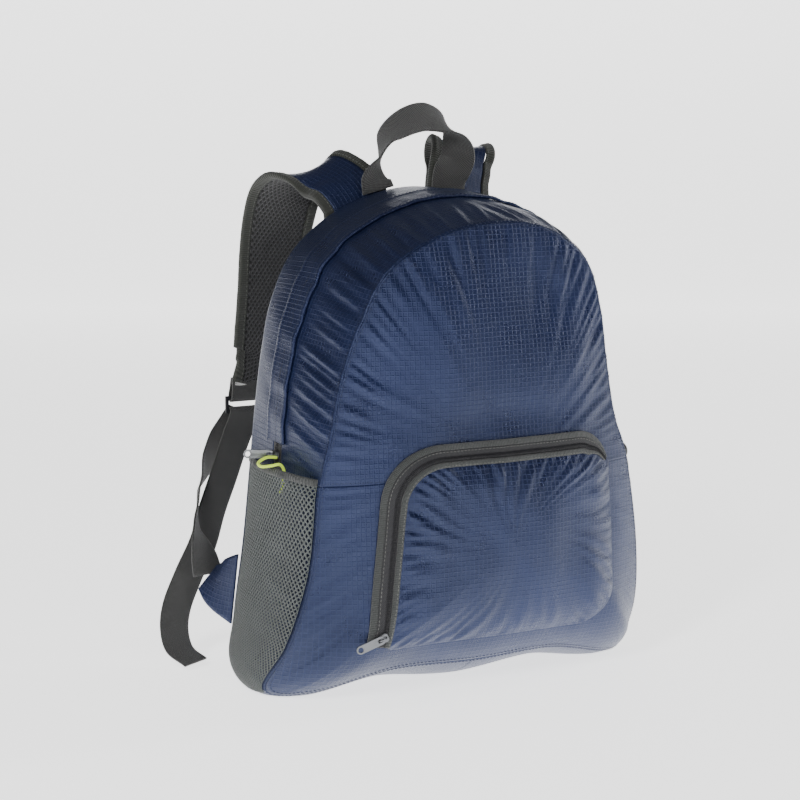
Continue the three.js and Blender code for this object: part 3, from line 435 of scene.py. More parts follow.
def front(k, share):
    """Points of the front, from its middle at share 0 to the front seam at 1."""
    k, share = np.broadcast_arrays(np.asarray(k, float), np.asarray(share, float))
    _, seam, t = seam_pair(k)
    middle = np.array([0.0, 0.0, FLARE_HEIGHT])
    points = middle + (seam - middle) * share[..., None]
    rise = 1 - share ** section("roll", t)
    y = seam[..., 1] + (-FRONT_SEAM_DEPTH - FRONT_DOME - seam[..., 1]) * rise
    x, z = points[..., 0], points[..., 2]
    ease = np.sin(np.pi * np.minimum(1, 1.4 * (1 - share)))
    for side, high, wide, tall, push in FRONT_DENTS:
        bulge = np.exp(-(((x / BAG_HALF_WIDTH - side) / wide) ** 2) - ((z / BAG_HEIGHT - high) / tall) ** 2)
        y = y + push * bulge * np.maximum(ease, 1 - share)
    inset = (1 - share) * 150
    run = seam_length(k)
    hold = (inset / 9) * np.exp(1 - inset / 9)
    long_hold = (inset / 17) * np.exp(1 - inset / 17)
    gather = section("gather", t)
    y = y - gather * hold * 1.1 * fold_noise(run / 11, 21)
    y = y - gather * long_hold * 1.3 * fold_noise((run + 0.25 * inset) / 27, 22)
    y = y - 1.7 * drift_noise(x / 36 + 9, z / 85 + 5, 4) * np.minimum(1, inset / 25)
    y = y - 0.5 * drift_noise(x / 15 + z / 60, z / 31 + 11, 5) * np.minimum(1, inset / 20)
    points[..., 1] = y
    return points


def back(k, share):
    """Points of the back panel, from its middle at share 0 to the back seam at 1."""
    k, share = np.broadcast_arrays(np.asarray(k, float), np.asarray(share, float))
    seam, _, t = seam_pair(k)
    middle = np.array([0.0, 0.0, FLARE_HEIGHT])
    points = middle + (seam - middle) * share[..., None]
    inset = (1 - share) * 150
    dome = BACK_DOME * (1 - np.maximum(share, 0) ** 3)
    hold = (inset / 12) * np.exp(1 - inset / 12)
    pucker = 0.7 * hold * fold_noise(seam_length(k) / 14, 31)
    hills = drift_noise(points[..., 0] / 45 + 3, points[..., 2] / 60 + 2, 6)
    soft = 0.8 * hills * np.minimum(1, inset / 30)
    points[..., 1] = BACK_SEAM_DEPTH + dome + pucker + soft
    return points


def grid_normals(points, wrap=False):
    """Unit normals of a grid of points."""
    if wrap:
        held = np.concatenate([points[-1:], points, points[:1]])
        down = (held[2:] - held[:-2]) / 2
    else:
        down = np.gradient(points, axis=0)
    right = np.gradient(points, axis=1)
    normals = np.cross(down, right)
    size = np.linalg.norm(normals, axis=-1)[..., None]
    return normals / np.maximum(size, 1e-9)


def cloth_map(across, along, grid):
    """Map values for a grid of points, from distances across and along the cloth."""
    shape = grid.shape[:2]
    return np.stack([np.broadcast_to(across, shape), np.broadcast_to(along, shape)], axis=-1)


def cloth_piece(name, outer, inner, uv, material, wrap=False):
    """A closed sheet from two grids of points and one grid of map values."""
    rows, columns = outer.shape[:2]
    points = np.vstack([outer.reshape(-1, 3), inner.reshape(-1, 3)])
    shift = rows * columns
    i, j = np.meshgrid(np.arange(rows if wrap else rows - 1), np.arange(columns - 1), indexing="ij")
    a = i * columns + j
    b = ((i + 1) % rows) * columns + j
    top = np.stack([a, b, b + 1, a + 1], axis=-1).reshape(-1, 4)
    faces = [top, top[:, ::-1] + shift]
    i = np.arange(rows if wrap else rows - 1)
    for edge, turned in ((0, False), (columns - 1, True)):
        a, b = i * columns + edge, ((i + 1) % rows) * columns + edge
        rim = np.stack([b, a, a + shift, b + shift], axis=-1)
        faces.append(rim[:, ::-1] if turned else rim)
    if not wrap:
        j = np.arange(columns - 1)
        for row, turned in ((0, False), (rows - 1, True)):
            a = row * columns + j
            rim = np.stack([a, a + 1, a + 1 + shift, a + shift], axis=-1)
            faces.append(rim[:, ::-1] if turned else rim)
    flat = uv.reshape(-1, 2)
    return build_mesh(name, points, np.vstack(faces).tolist(), np.vstack([flat, flat]), material)


def ripstop_finish(name, deep, light, grid=3.8):
    """Thin nylon with a fine raised grid, satin, lightly crushed."""
    nylon = Finish(name, roughness=0.4, sheen=0.04, sheen_tint=(0.4, 0.55, 1.0), specular=0.7)
    nylon.skin.inputs["Specular Tint"].default_value = (0.52, 0.62, 1.0, 1.0)
    across, along = nylon.flat()
    pitch = grid * 0.001
    lines = [
        way.pingpong(pitch / 2).ramp(pitch * 0.04, pitch * 0.13, 1.0, 0.0) for way in (across, along)
    ]
    mesh_lines = lines[0].maths("MAXIMUM", *lines)
    weave = (across * (6.283 / 0.00052)).sine() * (along * (6.283 / 0.00052)).sine()
    place = nylon.place()
    tone = nylon.cloud(place, 7.0, 3.0)
    crush = nylon.cloud(place, 55.0, 4.0, 0.6)
    base = tone.ramp(0.3, 0.7).mix(deep, light)
    lit = (mesh_lines * 0.3).mix(base, tuple(min(1.0, c * 1.6) for c in light[:3]) + (1.0,))
    nylon.wear("Base Color", lit)
    nylon.wear("Roughness", 0.22 + 0.14 * crush + 0.06 * mesh_lines)
    soft = nylon.bump(crush, 0.0012, 0.5)
    nylon.wear("Normal", nylon.bump(mesh_lines * 1.0 + weave * 0.12, 0.00022, 0.9, soft))
    return nylon.material


NAVY_DEEP = (0.0035, 0.006, 0.024, 1)
NAVY_LIGHT = (0.009, 0.0145, 0.05, 1)
nylon = ripstop_finish("navy_ripstop", NAVY_DEEP, NAVY_LIGHT)


def zip_tape_finish():
    tape = Finish("zip_tape", roughness=0.75, sheen=0.2)
    across, along = tape.flat()
    rib = (along * (6.283 / 0.0011)).sine()
    twill = ((across + along) * (6.283 / 0.0016)).sine()
    lay = (rib * 0.5 + twill * 0.5).ramp(-0.8, 0.8)
    tape.wear("Base Color", lay.mix((0.006, 0.006, 0.008, 1), (0.03, 0.03, 0.034, 1)))
    tape.wear("Normal", tape.bump(lay, 0.00025))
    return tape.material


tape = zip_tape_finish()


def panel(name, surface, stations, shares, material, node, cut, uv_plane=False, density=6, cloth=CLOTH):
    """One panel between two stations and two shares, as a closed sheet. The cut it is given is not used."""
    first, last = stations
    whole = last - first == STATIONS
    k = np.linspace(first, last, int((last - first) * density) + 1)
    k = (k[:-1] if whole else k)[:, None]
    outer = surface(k, shares[None, :])
    normals = grid_normals(outer, whole)
    middle = np.array([0, 0, FLARE_HEIGHT])
    if np.mean(np.sum(normals * (outer - middle), axis=-1)) < 0:
        normals = -normals
    if uv_plane:
        pole = shares < 1e-6
        if pole.any():
            normals[:, pole] = (0, math.copysign(1, outer[0, 0, 1]), 0)
        uv = np.stack([outer[..., 0], outer[..., 2]], axis=-1)
    else:
        width = lengths_along(outer[len(outer) // 2])
        uv = cloth_map(width[None, :], seam_length(k), outer)
    inner = outer - normals * cloth
    if not uv_plane:
        inner[..., 2] = np.maximum(inner[..., 2], 0.2)
        outer[..., 2] = np.maximum(outer[..., 2], 0.0)
    piece = cloth_piece(name, outer, inner, uv, material, whole)
    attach(piece, "root")
    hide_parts(node)
    width, length, area, held = cut
    return piece


front_shares = np.unique(np.concatenate([np.linspace(0, 0.7, 24), np.linspace(0.7, 0.9985, 42)]))
back_shares = np.linspace(0, 0.998, 36)
panels = {}
panels["back"] = panel(
    "back_nylon",
    back,
    (0, STATIONS),
    back_shares,
    nylon,
    "back_panel",
    (0.345, 0.4, 0.113, "stretched"),
    True,
    4,
)
panels["front_upper"] = panel(
    "front_upper_nylon",
    front,
    (WAIST, LEFT_WAIST),
    front_shares,
    nylon,
    "front_upper_panel",
    (0.3, 0.205, 0.0462, "gathered"),
    True,
    8,
)
panels["front_lower"] = panel(
    "front_lower_nylon",
    front,
    (LEFT_WAIST, STATIONS + WAIST),
    front_shares,
    nylon,
    "front_lower_panel",
    (0.345, 0.185, 0.0566, "gathered"),
    True,
    8,
)
panels["gusset_back"] = panel(
    "gusset_back_nylon",
    gusset,
    (WAIST, LEFT_WAIST),
    np.linspace(0.002, 0.3685, 20),
    nylon,
    "gusset_back",
    (0.05, 0.62, None, "stretched"),
    density=8,
)
panels["main_zip"] = panel(
    "main_zip_tape",
    gusset,
    (WAIST, LEFT_WAIST),
    np.linspace(0.3705, 0.4755, 8),
    tape,
    "main_zip",
    (0.015, 0.61, None, "stretched"),
    density=8,
)
panels["gusset_front"] = panel(
    "gusset_front_nylon",
    gusset,
    (WAIST, LEFT_WAIST),
    np.linspace(0.4775, 0.998, 46),
    nylon,
    "gusset_front",
    (0.07, 0.62, None, "gathered"),
    density=10,
)
panels["base"] = panel(
    "base_nylon",
    gusset,
    (LEFT_WAIST, STATIONS + WAIST),
    np.linspace(0.002, 0.998, 44),
    nylon,
    "base_gusset",
    (0.127, 0.66, 0.08, "stretched"),
    density=6,
)

# Storm flap
# A folded strip of the same nylon, sewn behind the main zip and laid over it from side to side.
FLAP_STATIONS = (WAIST + 2, LEFT_WAIST - 2)
FLAP_SHARES = (0.2845, 0.522)
FLAP_THICK = 1.2
FLAP_WIDTH = 30
FLAP_LIFT = 0.5


def storm_flap():
    k = np.linspace(*FLAP_STATIONS, 330)[:, None]
    share = np.linspace(*FLAP_SHARES, 22)[None, :]
    across = (share - FLAP_SHARES[0]) / (FLAP_SHARES[1] - FLAP_SHARES[0])
    run = seam_length(k)
    hem = 0.5 * np.exp(-(((across - 0.12) / 0.06) ** 2)) + 0.6 * np.exp(-(((across - 0.93) / 0.06) ** 2))
    slack = 0.7 * across * (fold_noise(run / 19, 41) + 1)
    inner = gusset(k, share, FLAP_LIFT + 0.2 * slack)
    outer = gusset(k, share, FLAP_LIFT + FLAP_THICK + hem + slack)
    uv = cloth_map(across * FLAP_WIDTH, run, outer)
    piece = cloth_piece("storm_flap_nylon", outer, inner, uv, nylon)
    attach(piece, "root")
    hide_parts("storm_flap")
    return outer


flap_surface = storm_flap()

# Side pockets
# Loose pockets of knitted net over each lower side, sewn in at both seams, their tops drawn in by a
# ribbed elastic binding.
NET_STAND_OFF = 13
NET_CORNER = 11.5
NET_TOP = WAIST + 0.35
NET_BINDING = 7.5
NET_COLUMNS = (0.054, 0.96)
NET_CELL = (2.1, 2.7)
NET_WIDTH = 118
NET_HOLE = 0.66
STATION_RISE = 17


def net_lift(up, across):
    return 0.4 + NET_STAND_OFF * np.minimum(1, 1.6 * up) ** 0.8 * np.sin(np.pi * across) ** 0.7


def knit_finish():
    knit = Finish("grey_net", roughness=0.7, sheen=0.3)
    across, along = knit.flat()
    loops = (across * (6.283 / 0.0007)).sine() * (along * (6.283 / 0.0007)).sine()
    tone = knit.cloud(knit.place(), 40.0)
    lay = tone * 0.7 + 0.2 * loops
    knit.wear("Base Color", lay.mix((0.06, 0.072, 0.069, 1), (0.15, 0.175, 0.165, 1)))
    knit.wear("Normal", knit.bump(loops, 0.0002))
    return knit.material


def elastic_finish(name, dark, pale, rib=0.0014):
    band = Finish(name, roughness=0.8, sheen=0.25)
    across, along = band.flat()
    ribs = (along * (6.283 / rib)).sine()
    cross = (across * (6.283 / 0.0009)).sine()
    lay = (ribs * 0.7 + cross * 0.3).ramp(-0.8, 0.8)
    tone = band.cloud(band.place(), 30.0)
    band.wear("Base Color", (lay * 0.6 + tone * 0.4).mix(dark, pale))
    band.wear("Normal", band.bump(lay, 0.00035))
    return band.material


def open_net_tree():
    """Each cell of a mesh opened by a hole, the threads between the cells left standing."""
    tree = bpy.data.node_groups.new("open_net", "GeometryNodeTree")
    face = tree.interface
    face.new_socket("Geometry", in_out="INPUT", socket_type="NodeSocketGeometry")
    hole = face.new_socket("Hole", in_out="INPUT", socket_type="NodeSocketFloat")
    thread = face.new_socket("Thread", in_out="INPUT", socket_type="NodeSocketMaterial")
    face.new_socket("Geometry", in_out="OUTPUT", socket_type="NodeSocketGeometry")
    entry = tree.nodes.new("NodeGroupInput")
    pull = tree.nodes.new("GeometryNodeExtrudeMesh")
    pull.mode = "FACES"
    pull.inputs["Offset Scale"].default_value = 0.0
    pull.inputs["Individual"].default_value = True
    shrink = tree.nodes.new("GeometryNodeScaleElements")
    shrink.domain = "FACE"
    cut = tree.nodes.new("GeometryNodeDeleteGeometry")
    cut.domain = "FACE"
    whole = tree.nodes.new("GeometryNodeRealizeInstances")
    paint = tree.nodes.new("GeometryNodeSetMaterial")
    leave = tree.nodes.new("NodeGroupOutput")
    link = tree.links.new
    link(entry.outputs["Geometry"], pull.inputs["Mesh"])
    link(pull.outputs["Mesh"], shrink.inputs["Geometry"])
    link(pull.outputs["Top"], shrink.inputs["Selection"])
    link(entry.outputs["Hole"], shrink.inputs["Scale"])
    link(shrink.outputs["Geometry"], cut.inputs["Geometry"])
    link(pull.outputs["Top"], cut.inputs["Selection"])
    link(cut.outputs["Geometry"], whole.inputs["Geometry"])
    link(whole.outputs["Geometry"], paint.inputs["Geometry"])
    link(entry.outputs["Thread"], paint.inputs["Material"])
    link(paint.outputs["Geometry"], leave.inputs["Geometry"])
    return tree, {"hole": hole.identifier, "thread": thread.identifier}


def settle(piece, smooth=True):
    """A piece's modifiers turned into its plain mesh."""
    deps = bpy.context.evaluated_depsgraph_get()
    mesh = bpy.data.meshes.new_from_object(piece.evaluated_get(deps))
    piece.modifiers.clear()
    if piece.type == "MESH":
        piece.data = mesh
        made = piece
    else:
        made = bpy.data.objects.new(piece.name + "_made", mesh)
        bpy.context.collection.objects.link(made)
        bpy.data.objects.remove(piece)
    if smooth:
        made.data.polygons.foreach_set("use_smooth", np.ones(len(made.data.polygons), bool))
    return made


net_tree, net_inputs = open_net_tree()
net_thread = knit_finish()
elastic = elastic_finish("grey_elastic", (0.018, 0.02, 0.02, 1), (0.055, 0.06, 0.058, 1))


def net_point(side, k, up, across):
    share = NET_COLUMNS[0] + (NET_COLUMNS[1] - NET_COLUMNS[0]) * across
    station = k if side == "right" else STATIONS - k
    run = seam_length(station)
    ripple = 0.5 * up * np.sin(np.pi * across) * fold_noise(run / 30 + across * 2, 51)
    points = gusset(station, share, net_lift(up, across) + 0.6 + ripple)
    points[..., 2] = np.maximum(points[..., 2], 1.0)
    return points


def net_pocket(side):
    low, high = NET_CORNER + 0.1, NET_TOP - NET_BINDING / STATION_RISE + 0.1
    rows = int((high - low) * STATION_RISE / NET_CELL[1] / 2) * 2
    columns = int(NET_WIDTH / NET_CELL[0] / 2) * 2
    i, j = np.meshgrid(np.arange(rows + 1), np.arange(columns + 1), indexing="ij")
    k = low + (high - low) * i / rows
    up = (k - NET_CORNER) / (NET_TOP - NET_CORNER)
    grid = net_point(side, k, up, j / columns)
    uv = np.stack([j * NET_CELL[0], i * NET_CELL[1]], axis=-1)
    number = i * (columns + 1) + j
    faces = []
    for a in range(rows + 1):
        for b in range(1 - a % 2, columns + 1, 2):
            ring = [(a - 1, b), (a, b + 1), (a + 1, b), (a, b - 1)]
            ring = [p for p in ring if 0 <= p[0] <= rows and 0 <= p[1] <= columns]
            if len(ring) > 2:
                faces.append(tuple(int(number[p]) for p in ring))
    mesh = build_mesh(f"side_net_{side}", grid.reshape(-1, 3), faces, uv.reshape(-1, 2), net_thread)
    shape = bmesh.new()
    shape.from_mesh(mesh.data)
    loose = [v for v in shape.verts if not v.link_faces]
    bmesh.ops.delete(shape, geom=loose, context="VERTS")
    bmesh.ops.recalc_face_normals(shape, faces=shape.faces)
    shape.to_mesh(mesh.data)
    shape.free()
    holes = mesh.modifiers.new("holes", "NODES")
    holes.node_group = net_tree
    holes[net_inputs["hole"]] = NET_HOLE
    holes[net_inputs["thread"]] = net_thread
    body = mesh.modifiers.new("thread", "SOLIDIFY")
    body.thickness = 0.0007
    body.offset = 0
    piece = settle(mesh)
    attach(piece, "root")
    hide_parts(f"mesh_pocket_{side}")

    k = np.linspace(NET_TOP - NET_BINDING / STATION_RISE, NET_TOP + 0.02, 14)[:, None]
    across = np.linspace(0, 1, 180)[None, :]
    round_up = np.sin(np.pi * np.linspace(0, 1, 14))[:, None] ** 0.5
    share = NET_COLUMNS[0] + (NET_COLUMNS[1] - NET_COLUMNS[0]) * across
    station = k if side == "right" else STATIONS - k
    crimp = 0.35 * np.sin(across * 2 * np.pi * 38 + 0.8 * np.sin(across * 17))
    lift = net_lift(1.0, across)
    outer = gusset(station, share, lift + 0.9 + (1.3 + crimp) * round_up)
    inner = gusset(station, share, lift + 0.3 - 0.3 * round_up)
    uv = cloth_map(k * STATION_RISE, across * NET_WIDTH, outer)
    band = cloth_piece(f"net_binding_{side}", outer, inner, uv, elastic)
    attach(band, "root")
    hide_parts(f"mesh_binding_{side}")


net_pocket("left")
net_pocket("right")

# Front pocket
# A gathered panel sewn on below the waist seam, closed by a curved zip round its left side and top.
# Ribbed binding edges the zip tape on both sides, and the bag folds away into this pocket.
POCKET_SWELL = 12
POCKET_ROLL = 34
POCKET_SEAT = 1.1
POCKET_BINDING = 4.5
POCKET_ZIP_WIDTH = 17
POCKET_TAPE = 0.9
POCKET_CORNERS = [
    # x, z, radius, steps in the corner, steps to the next
    (-121, 44, 5, 1, 9),
    (-101, 207, 50, 7, 7),
    (105, 207, 34, 6, 6),
    (111, 44, 36, 5, 8),
]
FINE = 8


def pocket_outline():
    """The pocket's edge as points with inward directions, and the share of the zip's width at each."""
    corners = np.array([c[:2] for c in POCKET_CORNERS], float)
    points, order = [], []
    legs = []
    for n, (_, _, radius, _, _) in enumerate(POCKET_CORNERS):
        here = corners[n]
        before, after = corners[n - 1] - here, corners[(n + 1) % 4] - here
        before, after = before / np.linalg.norm(before), after / np.linalg.norm(after)
        half = math.acos(before.dot(after)) / 2
        bisector = (before + after) / np.linalg.norm(before + after)
        reach = radius / math.tan(half)
        centre = here + bisector * radius / math.sin(half)
        legs.append((here + before * reach, here + after * reach, centre))
    place = 0.0
    for n, (_, _, radius, steps, side_steps) in enumerate(POCKET_CORNERS):
        enter, leave, centre = legs[n]
        start = math.atan2(*(enter - centre)[::-1])
        turn = math.atan2(*(leave - centre)[::-1]) - start
        turn = (turn + math.pi) % (2 * math.pi) - math.pi
        for s in range(steps * FINE):
            angle = start + turn * s / (steps * FINE)
            points.append(centre + radius * np.array([math.cos(angle), math.sin(angle)]))
            order.append(place + s / FINE)
        place += steps
        following = legs[(n + 1) % 4][0]
        for s in range(side_steps * FINE):
            points.append(leave + (following - leave) * s / (side_steps * FINE))
            order.append(place + s / FINE)
        place += side_steps
    points, order = np.array(points), np.array(order)
    along = np.roll(points, -1, axis=0) - np.roll(points, 1, axis=0)
    along /= np.linalg.norm(along, axis=1)[:, None]
    return points, np.stack([along[:, 1], -along[:, 0]], axis=1), order


OUTLINE, INWARD, ORDER = pocket_outline()
ZIP_FIRST, ZIP_LAST = 1, 1 + 9 + 7 + 7 + 5


def zip_share(order):
    share = np.minimum(1, 0.35 + 0.65 * (ZIP_LAST - order) / 3)
    return np.where((order < ZIP_FIRST) | (order > ZIP_LAST), 0.0, share)


def pocket_lift(inset):
    return POCKET_SEAT + POCKET_SWELL * (1 - np.exp(-inset / POCKET_ROLL))


def front_surface_tree():
    trees = []
    for key in ("front_upper", "front_lower"):
        mesh = panels[key].data
        corners = [v.co.copy() for v in mesh.vertices]
        trees.append(BVHTree.FromPolygons(corners, [p.vertices[:] for p in mesh.polygons]))
    return trees


front_trees = front_surface_tree()


def front_depth(x, z):
    """How far back the front lies at each place, found from in front."""
    found = []
    for px, pz in zip(np.ravel(x), np.ravel(z)):
        start = Vector((px * 0.001, -0.4, pz * 0.001))
        hits = [tree.ray_cast(start, Vector((0, 1, 0)))[0] for tree in front_trees]
        depths = [h.y * 1000 for h in hits if h is not None]
        found.append(min(depths) if depths else np.nan)
    found = np.array(found)
    found[np.isnan(found)] = np.nanmean(found)
    return found.reshape(np.shape(x))


zip_rows = (ORDER >= ZIP_FIRST) & (ORDER <= ZIP_LAST)
zip_edge, zip_in, zip_order = OUTLINE[zip_rows], INWARD[zip_rows], ORDER[zip_rows]
zip_run = lengths_along(zip_edge)


def zip_strip(name, low, high, thick, lift_more, material, columns, crown=0.0, crimp=0.0):
    """A band that follows the pocket's zip, between two distances in from its edge."""
    share = zip_share(zip_order)[:, None]
    across = np.linspace(0, 1, columns)[None, :]
    inset = (low + (high - low) * across) * share + 0.1
    at = zip_edge[:, None, :] + zip_in[:, None, :] * inset[..., None]
    base = front_depth(at[..., 0], at[..., 1]) - pocket_lift(inset) - lift_more
    ripple = crimp * np.sin(zip_run[:, None] * 2 * np.pi / 6.5 + np.sin(zip_run[:, None] / 9))
    rise = thick + (crown + ripple) * np.sin(np.pi * across) ** 0.6
    outer = np.stack([at[..., 0], base - rise, at[..., 1]], axis=-1)
    inner = np.stack([at[..., 0], base, at[..., 1]], axis=-1)
    uv = cloth_map(inset, zip_run[:, None], outer)
    piece = cloth_piece(name, outer, inner, uv, material)
    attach(piece, "root")
    return piece, outer


coil_middle = POCKET_BINDING + (POCKET_ZIP_WIDTH - POCKET_BINDING) / 2
binding, _ = zip_strip("pocket_edge_binding", 0, POCKET_BINDING, 1.0, 0.1, elastic, 10, 0.6, 0.15)
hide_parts("pocket_binding")
zip_tape, tape_surface = zip_strip(
    "pocket_zip_tape", POCKET_BINDING + 0.2, POCKET_ZIP_WIDTH, POCKET_TAPE, 0.1, tape, 12
)
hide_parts("pocket_zip")
inner_binding, inner_surface = zip_strip(
    "pocket_inner_binding", POCKET_ZIP_WIDTH - 3.6, POCKET_ZIP_WIDTH + 0.6, 0.7, 1.15, elastic, 8, 0.5, 0.15
)


def pocket_panel():
    share = zip_share(ORDER)
    inset = share * POCKET_ZIP_WIDTH
    at = OUTLINE + INWARD * (inset + 0.18)[:, None]
    first = np.argmax(ORDER >= ZIP_FIRST)
    low_left = ORDER < ZIP_FIRST
    drop = -0.5 * (ZIP_FIRST - ORDER[low_left])
    at[low_left] = at[first] + np.stack([np.zeros(len(drop)), drop], axis=1)
    inset[low_left] = inset[first]
    bottom = np.arange(len(ORDER)) > len(ORDER) - POCKET_CORNERS[3][4] * FINE
    kept = ~(bottom & (at[:, 0] < at[first, 0] + 4))
    at, inset = at[kept], inset[kept]
    centre = np.array([(-121 + 111 + POCKET_ZIP_WIDTH) / 2, (207 + 44) / 2])
    rings = np.concatenate([np.linspace(1, 0.84, 16)[:-1], np.linspace(0.84, 0, 30)])
    spot = centre + (at - centre)[:, None, :] * rings[None, :, None]
    run = lengths_along(at)[:, None]
    distance = (1 - rings)[None, :] * np.linalg.norm(at - centre, axis=1)[:, None]
    hold = (distance / 5.5) * np.exp(1 - distance / 5.5)
    long_hold = (distance / 10) * np.exp(1 - distance / 10)
    edge = pocket_lift(inset)[:, None]
    full = POCKET_SEAT + POCKET_SWELL
    lift = edge + (full - edge) * (1 - rings[None, :] ** 3.2)
    folds = 1.1 * hold * fold_noise(run / 9, 61)
    folds = folds + 1.7 * long_hold * fold_noise((run + 0.4 * distance) / 21, 62)
    x, z = spot[..., 0], spot[..., 1]
    soft = 1.9 * drift_noise(x / 30 + 5, z / 60 + 8, 63)
    soft = soft + 0.5 * drift_noise(x / 13 + z / 40, z / 26 + 3, 64)
    soft = soft * np.minimum(1, distance / 20)
    lift = np.maximum(lift + folds + soft, POCKET_SEAT + 0.3)
    y = front_depth(spot[..., 0], spot[..., 1]) - lift
    inner = np.stack([spot[..., 0], y, spot[..., 1]], axis=-1)
    outer = inner - np.array([0, CLOTH, 0])
    piece = cloth_piece("front_pocket_nylon", outer, inner, spot, nylon, True)
    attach(piece, "root")
    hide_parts("pocket_panel")


pocket_panel()

# Zip teeth
# Nylon coils, a tooth every millimetre and a third, sewn along the middle of each tape.
TOOTH_PITCH = 1.3
POCKET_TOOTH = (0.75, 4.6, 1.7)
MAIN_TOOTH = (0.75, 4.2, 1.0)


def row_tree():
    """Small grains set along a curve at an even pitch, each turned along it."""
    tree = bpy.data.node_groups.new("row_of_grains", "GeometryNodeTree")
    face = tree.interface
    face.new_socket("Geometry", in_out="INPUT", socket_type="NodeSocketGeometry")
    names = {}
    for label, kind in (("Pitch", "Float"), ("Size", "Vector"), ("Grain", "Material")):
        names[label] = face.new_socket(label, in_out="INPUT", socket_type=f"NodeSocket{kind}").identifier
    face.new_socket("Geometry", in_out="OUTPUT", socket_type="NodeSocketGeometry")
    node, link = tree.nodes.new, tree.links.new
    entry, leave = node("NodeGroupInput"), node("NodeGroupOutput")
    spread = node("GeometryNodeResampleCurve")
    spread.mode = "LENGTH"
    grain = node("GeometryNodeMeshIcoSphere")
    grain.inputs["Radius"].default_value = 0.5
    grain.inputs["Subdivisions"].default_value = 2
    tangent = node("GeometryNodeInputTangent")
    normal = node("GeometryNodeInputNormal")
    turn = node("FunctionNodeAxesToRotation")
    turn.primary_axis = "X"
    turn.secondary_axis = "Z"
    place = node("GeometryNodeInstanceOnPoints")
    whole = node("GeometryNodeRealizeInstances")
    paint = node("GeometryNodeSetMaterial")
    link(entry.outputs["Geometry"], spread.inputs["Curve"])
    link(entry.outputs["Pitch"], spread.inputs["Length"])
    link(spread.outputs["Curve"], place.inputs["Points"])
    link(grain.outputs["Mesh"], place.inputs["Instance"])
    link(tangent.outputs["Tangent"], turn.inputs["Primary Axis"])
    link(normal.outputs["Normal"], turn.inputs["Secondary Axis"])
    link(turn.outputs["Rotation"], place.inputs["Rotation"])
    link(entry.outputs["Size"], place.inputs["Scale"])
    link(place.outputs["Instances"], whole.inputs["Geometry"])
    link(whole.outputs["Geometry"], paint.inputs["Geometry"])
    link(entry.outputs["Grain"], paint.inputs["Material"])
    link(paint.outputs["Geometry"], leave.inputs["Geometry"])
    return tree, names


grain_tree, grain_inputs = row_tree()


def grain_rows(name, lines, pitch, size, material, slot_name):
    """Rows of grains along lines in millimetres: stitches, or the teeth of a coil."""
    data = bpy.data.curves.new(name, "CURVE")
    data.dimensions = "3D"
    for line in lines:
        spline = data.splines.new("POLY")
        spline.points.add(len(line) - 1)
        flat = np.concatenate([np.asarray(line) * 0.001, np.ones((len(line), 1))], axis=1)
        spline.points.foreach_set("co", flat.ravel())
    piece = bpy.data.objects.new(name + "_line", data)
    bpy.context.collection.objects.link(piece)
    rows = piece.modifiers.new("rows", "NODES")
    rows.node_group = grain_tree
    rows[grain_inputs["Pitch"]] = pitch * 0.001
    rows[grain_inputs["Size"]] = [s * 0.001 for s in size]
    rows[grain_inputs["Grain"]] = material
    made = settle(piece)
    made.name = name
    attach(made, "root")
    return made


def plain_finish(name, color, roughness, metallic=0.0, speckle=80.0, change=0.35):
    """A plain hard or thread finish with a little variation in tone and shine."""
    plain = Finish(name, roughness=roughness, metallic=metallic)
    tone = plain.cloud(plain.place(), speckle, 3.0)
    deep = tuple(c * (1 - change) for c in color) + (1,)
    pale = tuple(min(1, c * (1 + change)) for c in color) + (1,)
    plain.wear("Base Color", tone.mix(deep, pale))
    plain.wear("Roughness", roughness * 0.85 + 0.3 * roughness * tone)
    plain.wear("Normal", plain.bump(tone, 0.00008, 0.5))
    return plain.material


tooth_black = plain_finish("coil_black", (0.02, 0.02, 0.023), 0.35)


def pocket_teeth():
    share = zip_share(zip_order)
    inset = coil_middle * share
    at = zip_edge + zip_in * inset[:, None]
    y = front_depth(at[:, 0], at[:, 1]) - pocket_lift(inset) - POCKET_TAPE - 0.8
    return np.stack([at[:, 0], y, at[:, 1]], axis=-1)


teeth_line = pocket_teeth()[6:]
coil = grain_rows("pocket_coil_teeth", [teeth_line], TOOTH_PITCH, POCKET_TOOTH, tooth_black, "zip_coil")
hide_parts("pocket_zip_coil")
main_k = np.linspace(WAIST + 0.3, LEFT_WAIST - 0.3, 400)
main_line = gusset(main_k, np.full(main_k.shape, 0.4235), 0.55)
grain_rows("main_coil_teeth", [main_line], TOOTH_PITCH, MAIN_TOOTH, tooth_black, "zip_coil")

# Zip sliders, pulls and ladder buckles
# Cast zinc sliders and punched pull tabs with a slot and a ring hole, and plain moulded buckles.
zinc = plain_finish("zinc", (0.16, 0.165, 0.175), 0.36, 0.9, 160.0, 0.25)
moulded = plain_finish("moulded_black", (0.014, 0.014, 0.016), 0.42, 0.0, 220.0, 0.3)


def rounded_copy(node, name, body, material, edge):
    """A hard piece with the frame's own shape, its edges eased."""
    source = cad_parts[node].data
    shape = bmesh.new()
    shape.from_mesh(source)
    bmesh.ops.remove_doubles(shape, verts=shape.verts, dist=1e-6)
    bmesh.ops.dissolve_limit(shape, angle_limit=0.02, verts=shape.verts, edges=shape.edges)
    mesh = bpy.data.meshes.new(name)
    shape.to_mesh(mesh)
    shape.free()
    mesh.materials.clear()
    mesh.materials.append(material)
    piece = bpy.data.objects.new(name, mesh)
    bpy.context.collection.objects.link(piece)
    ease = piece.modifiers.new("ease", "BEVEL")
    ease.width = edge * 0.001
    ease.segments = 2
    ease.limit_method = "ANGLE"
    ease.angle_limit = 0.6
    ease.harden_normals = False
    piece = settle(piece, smooth=False)
    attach(piece, body)
    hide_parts(node)
    return piece


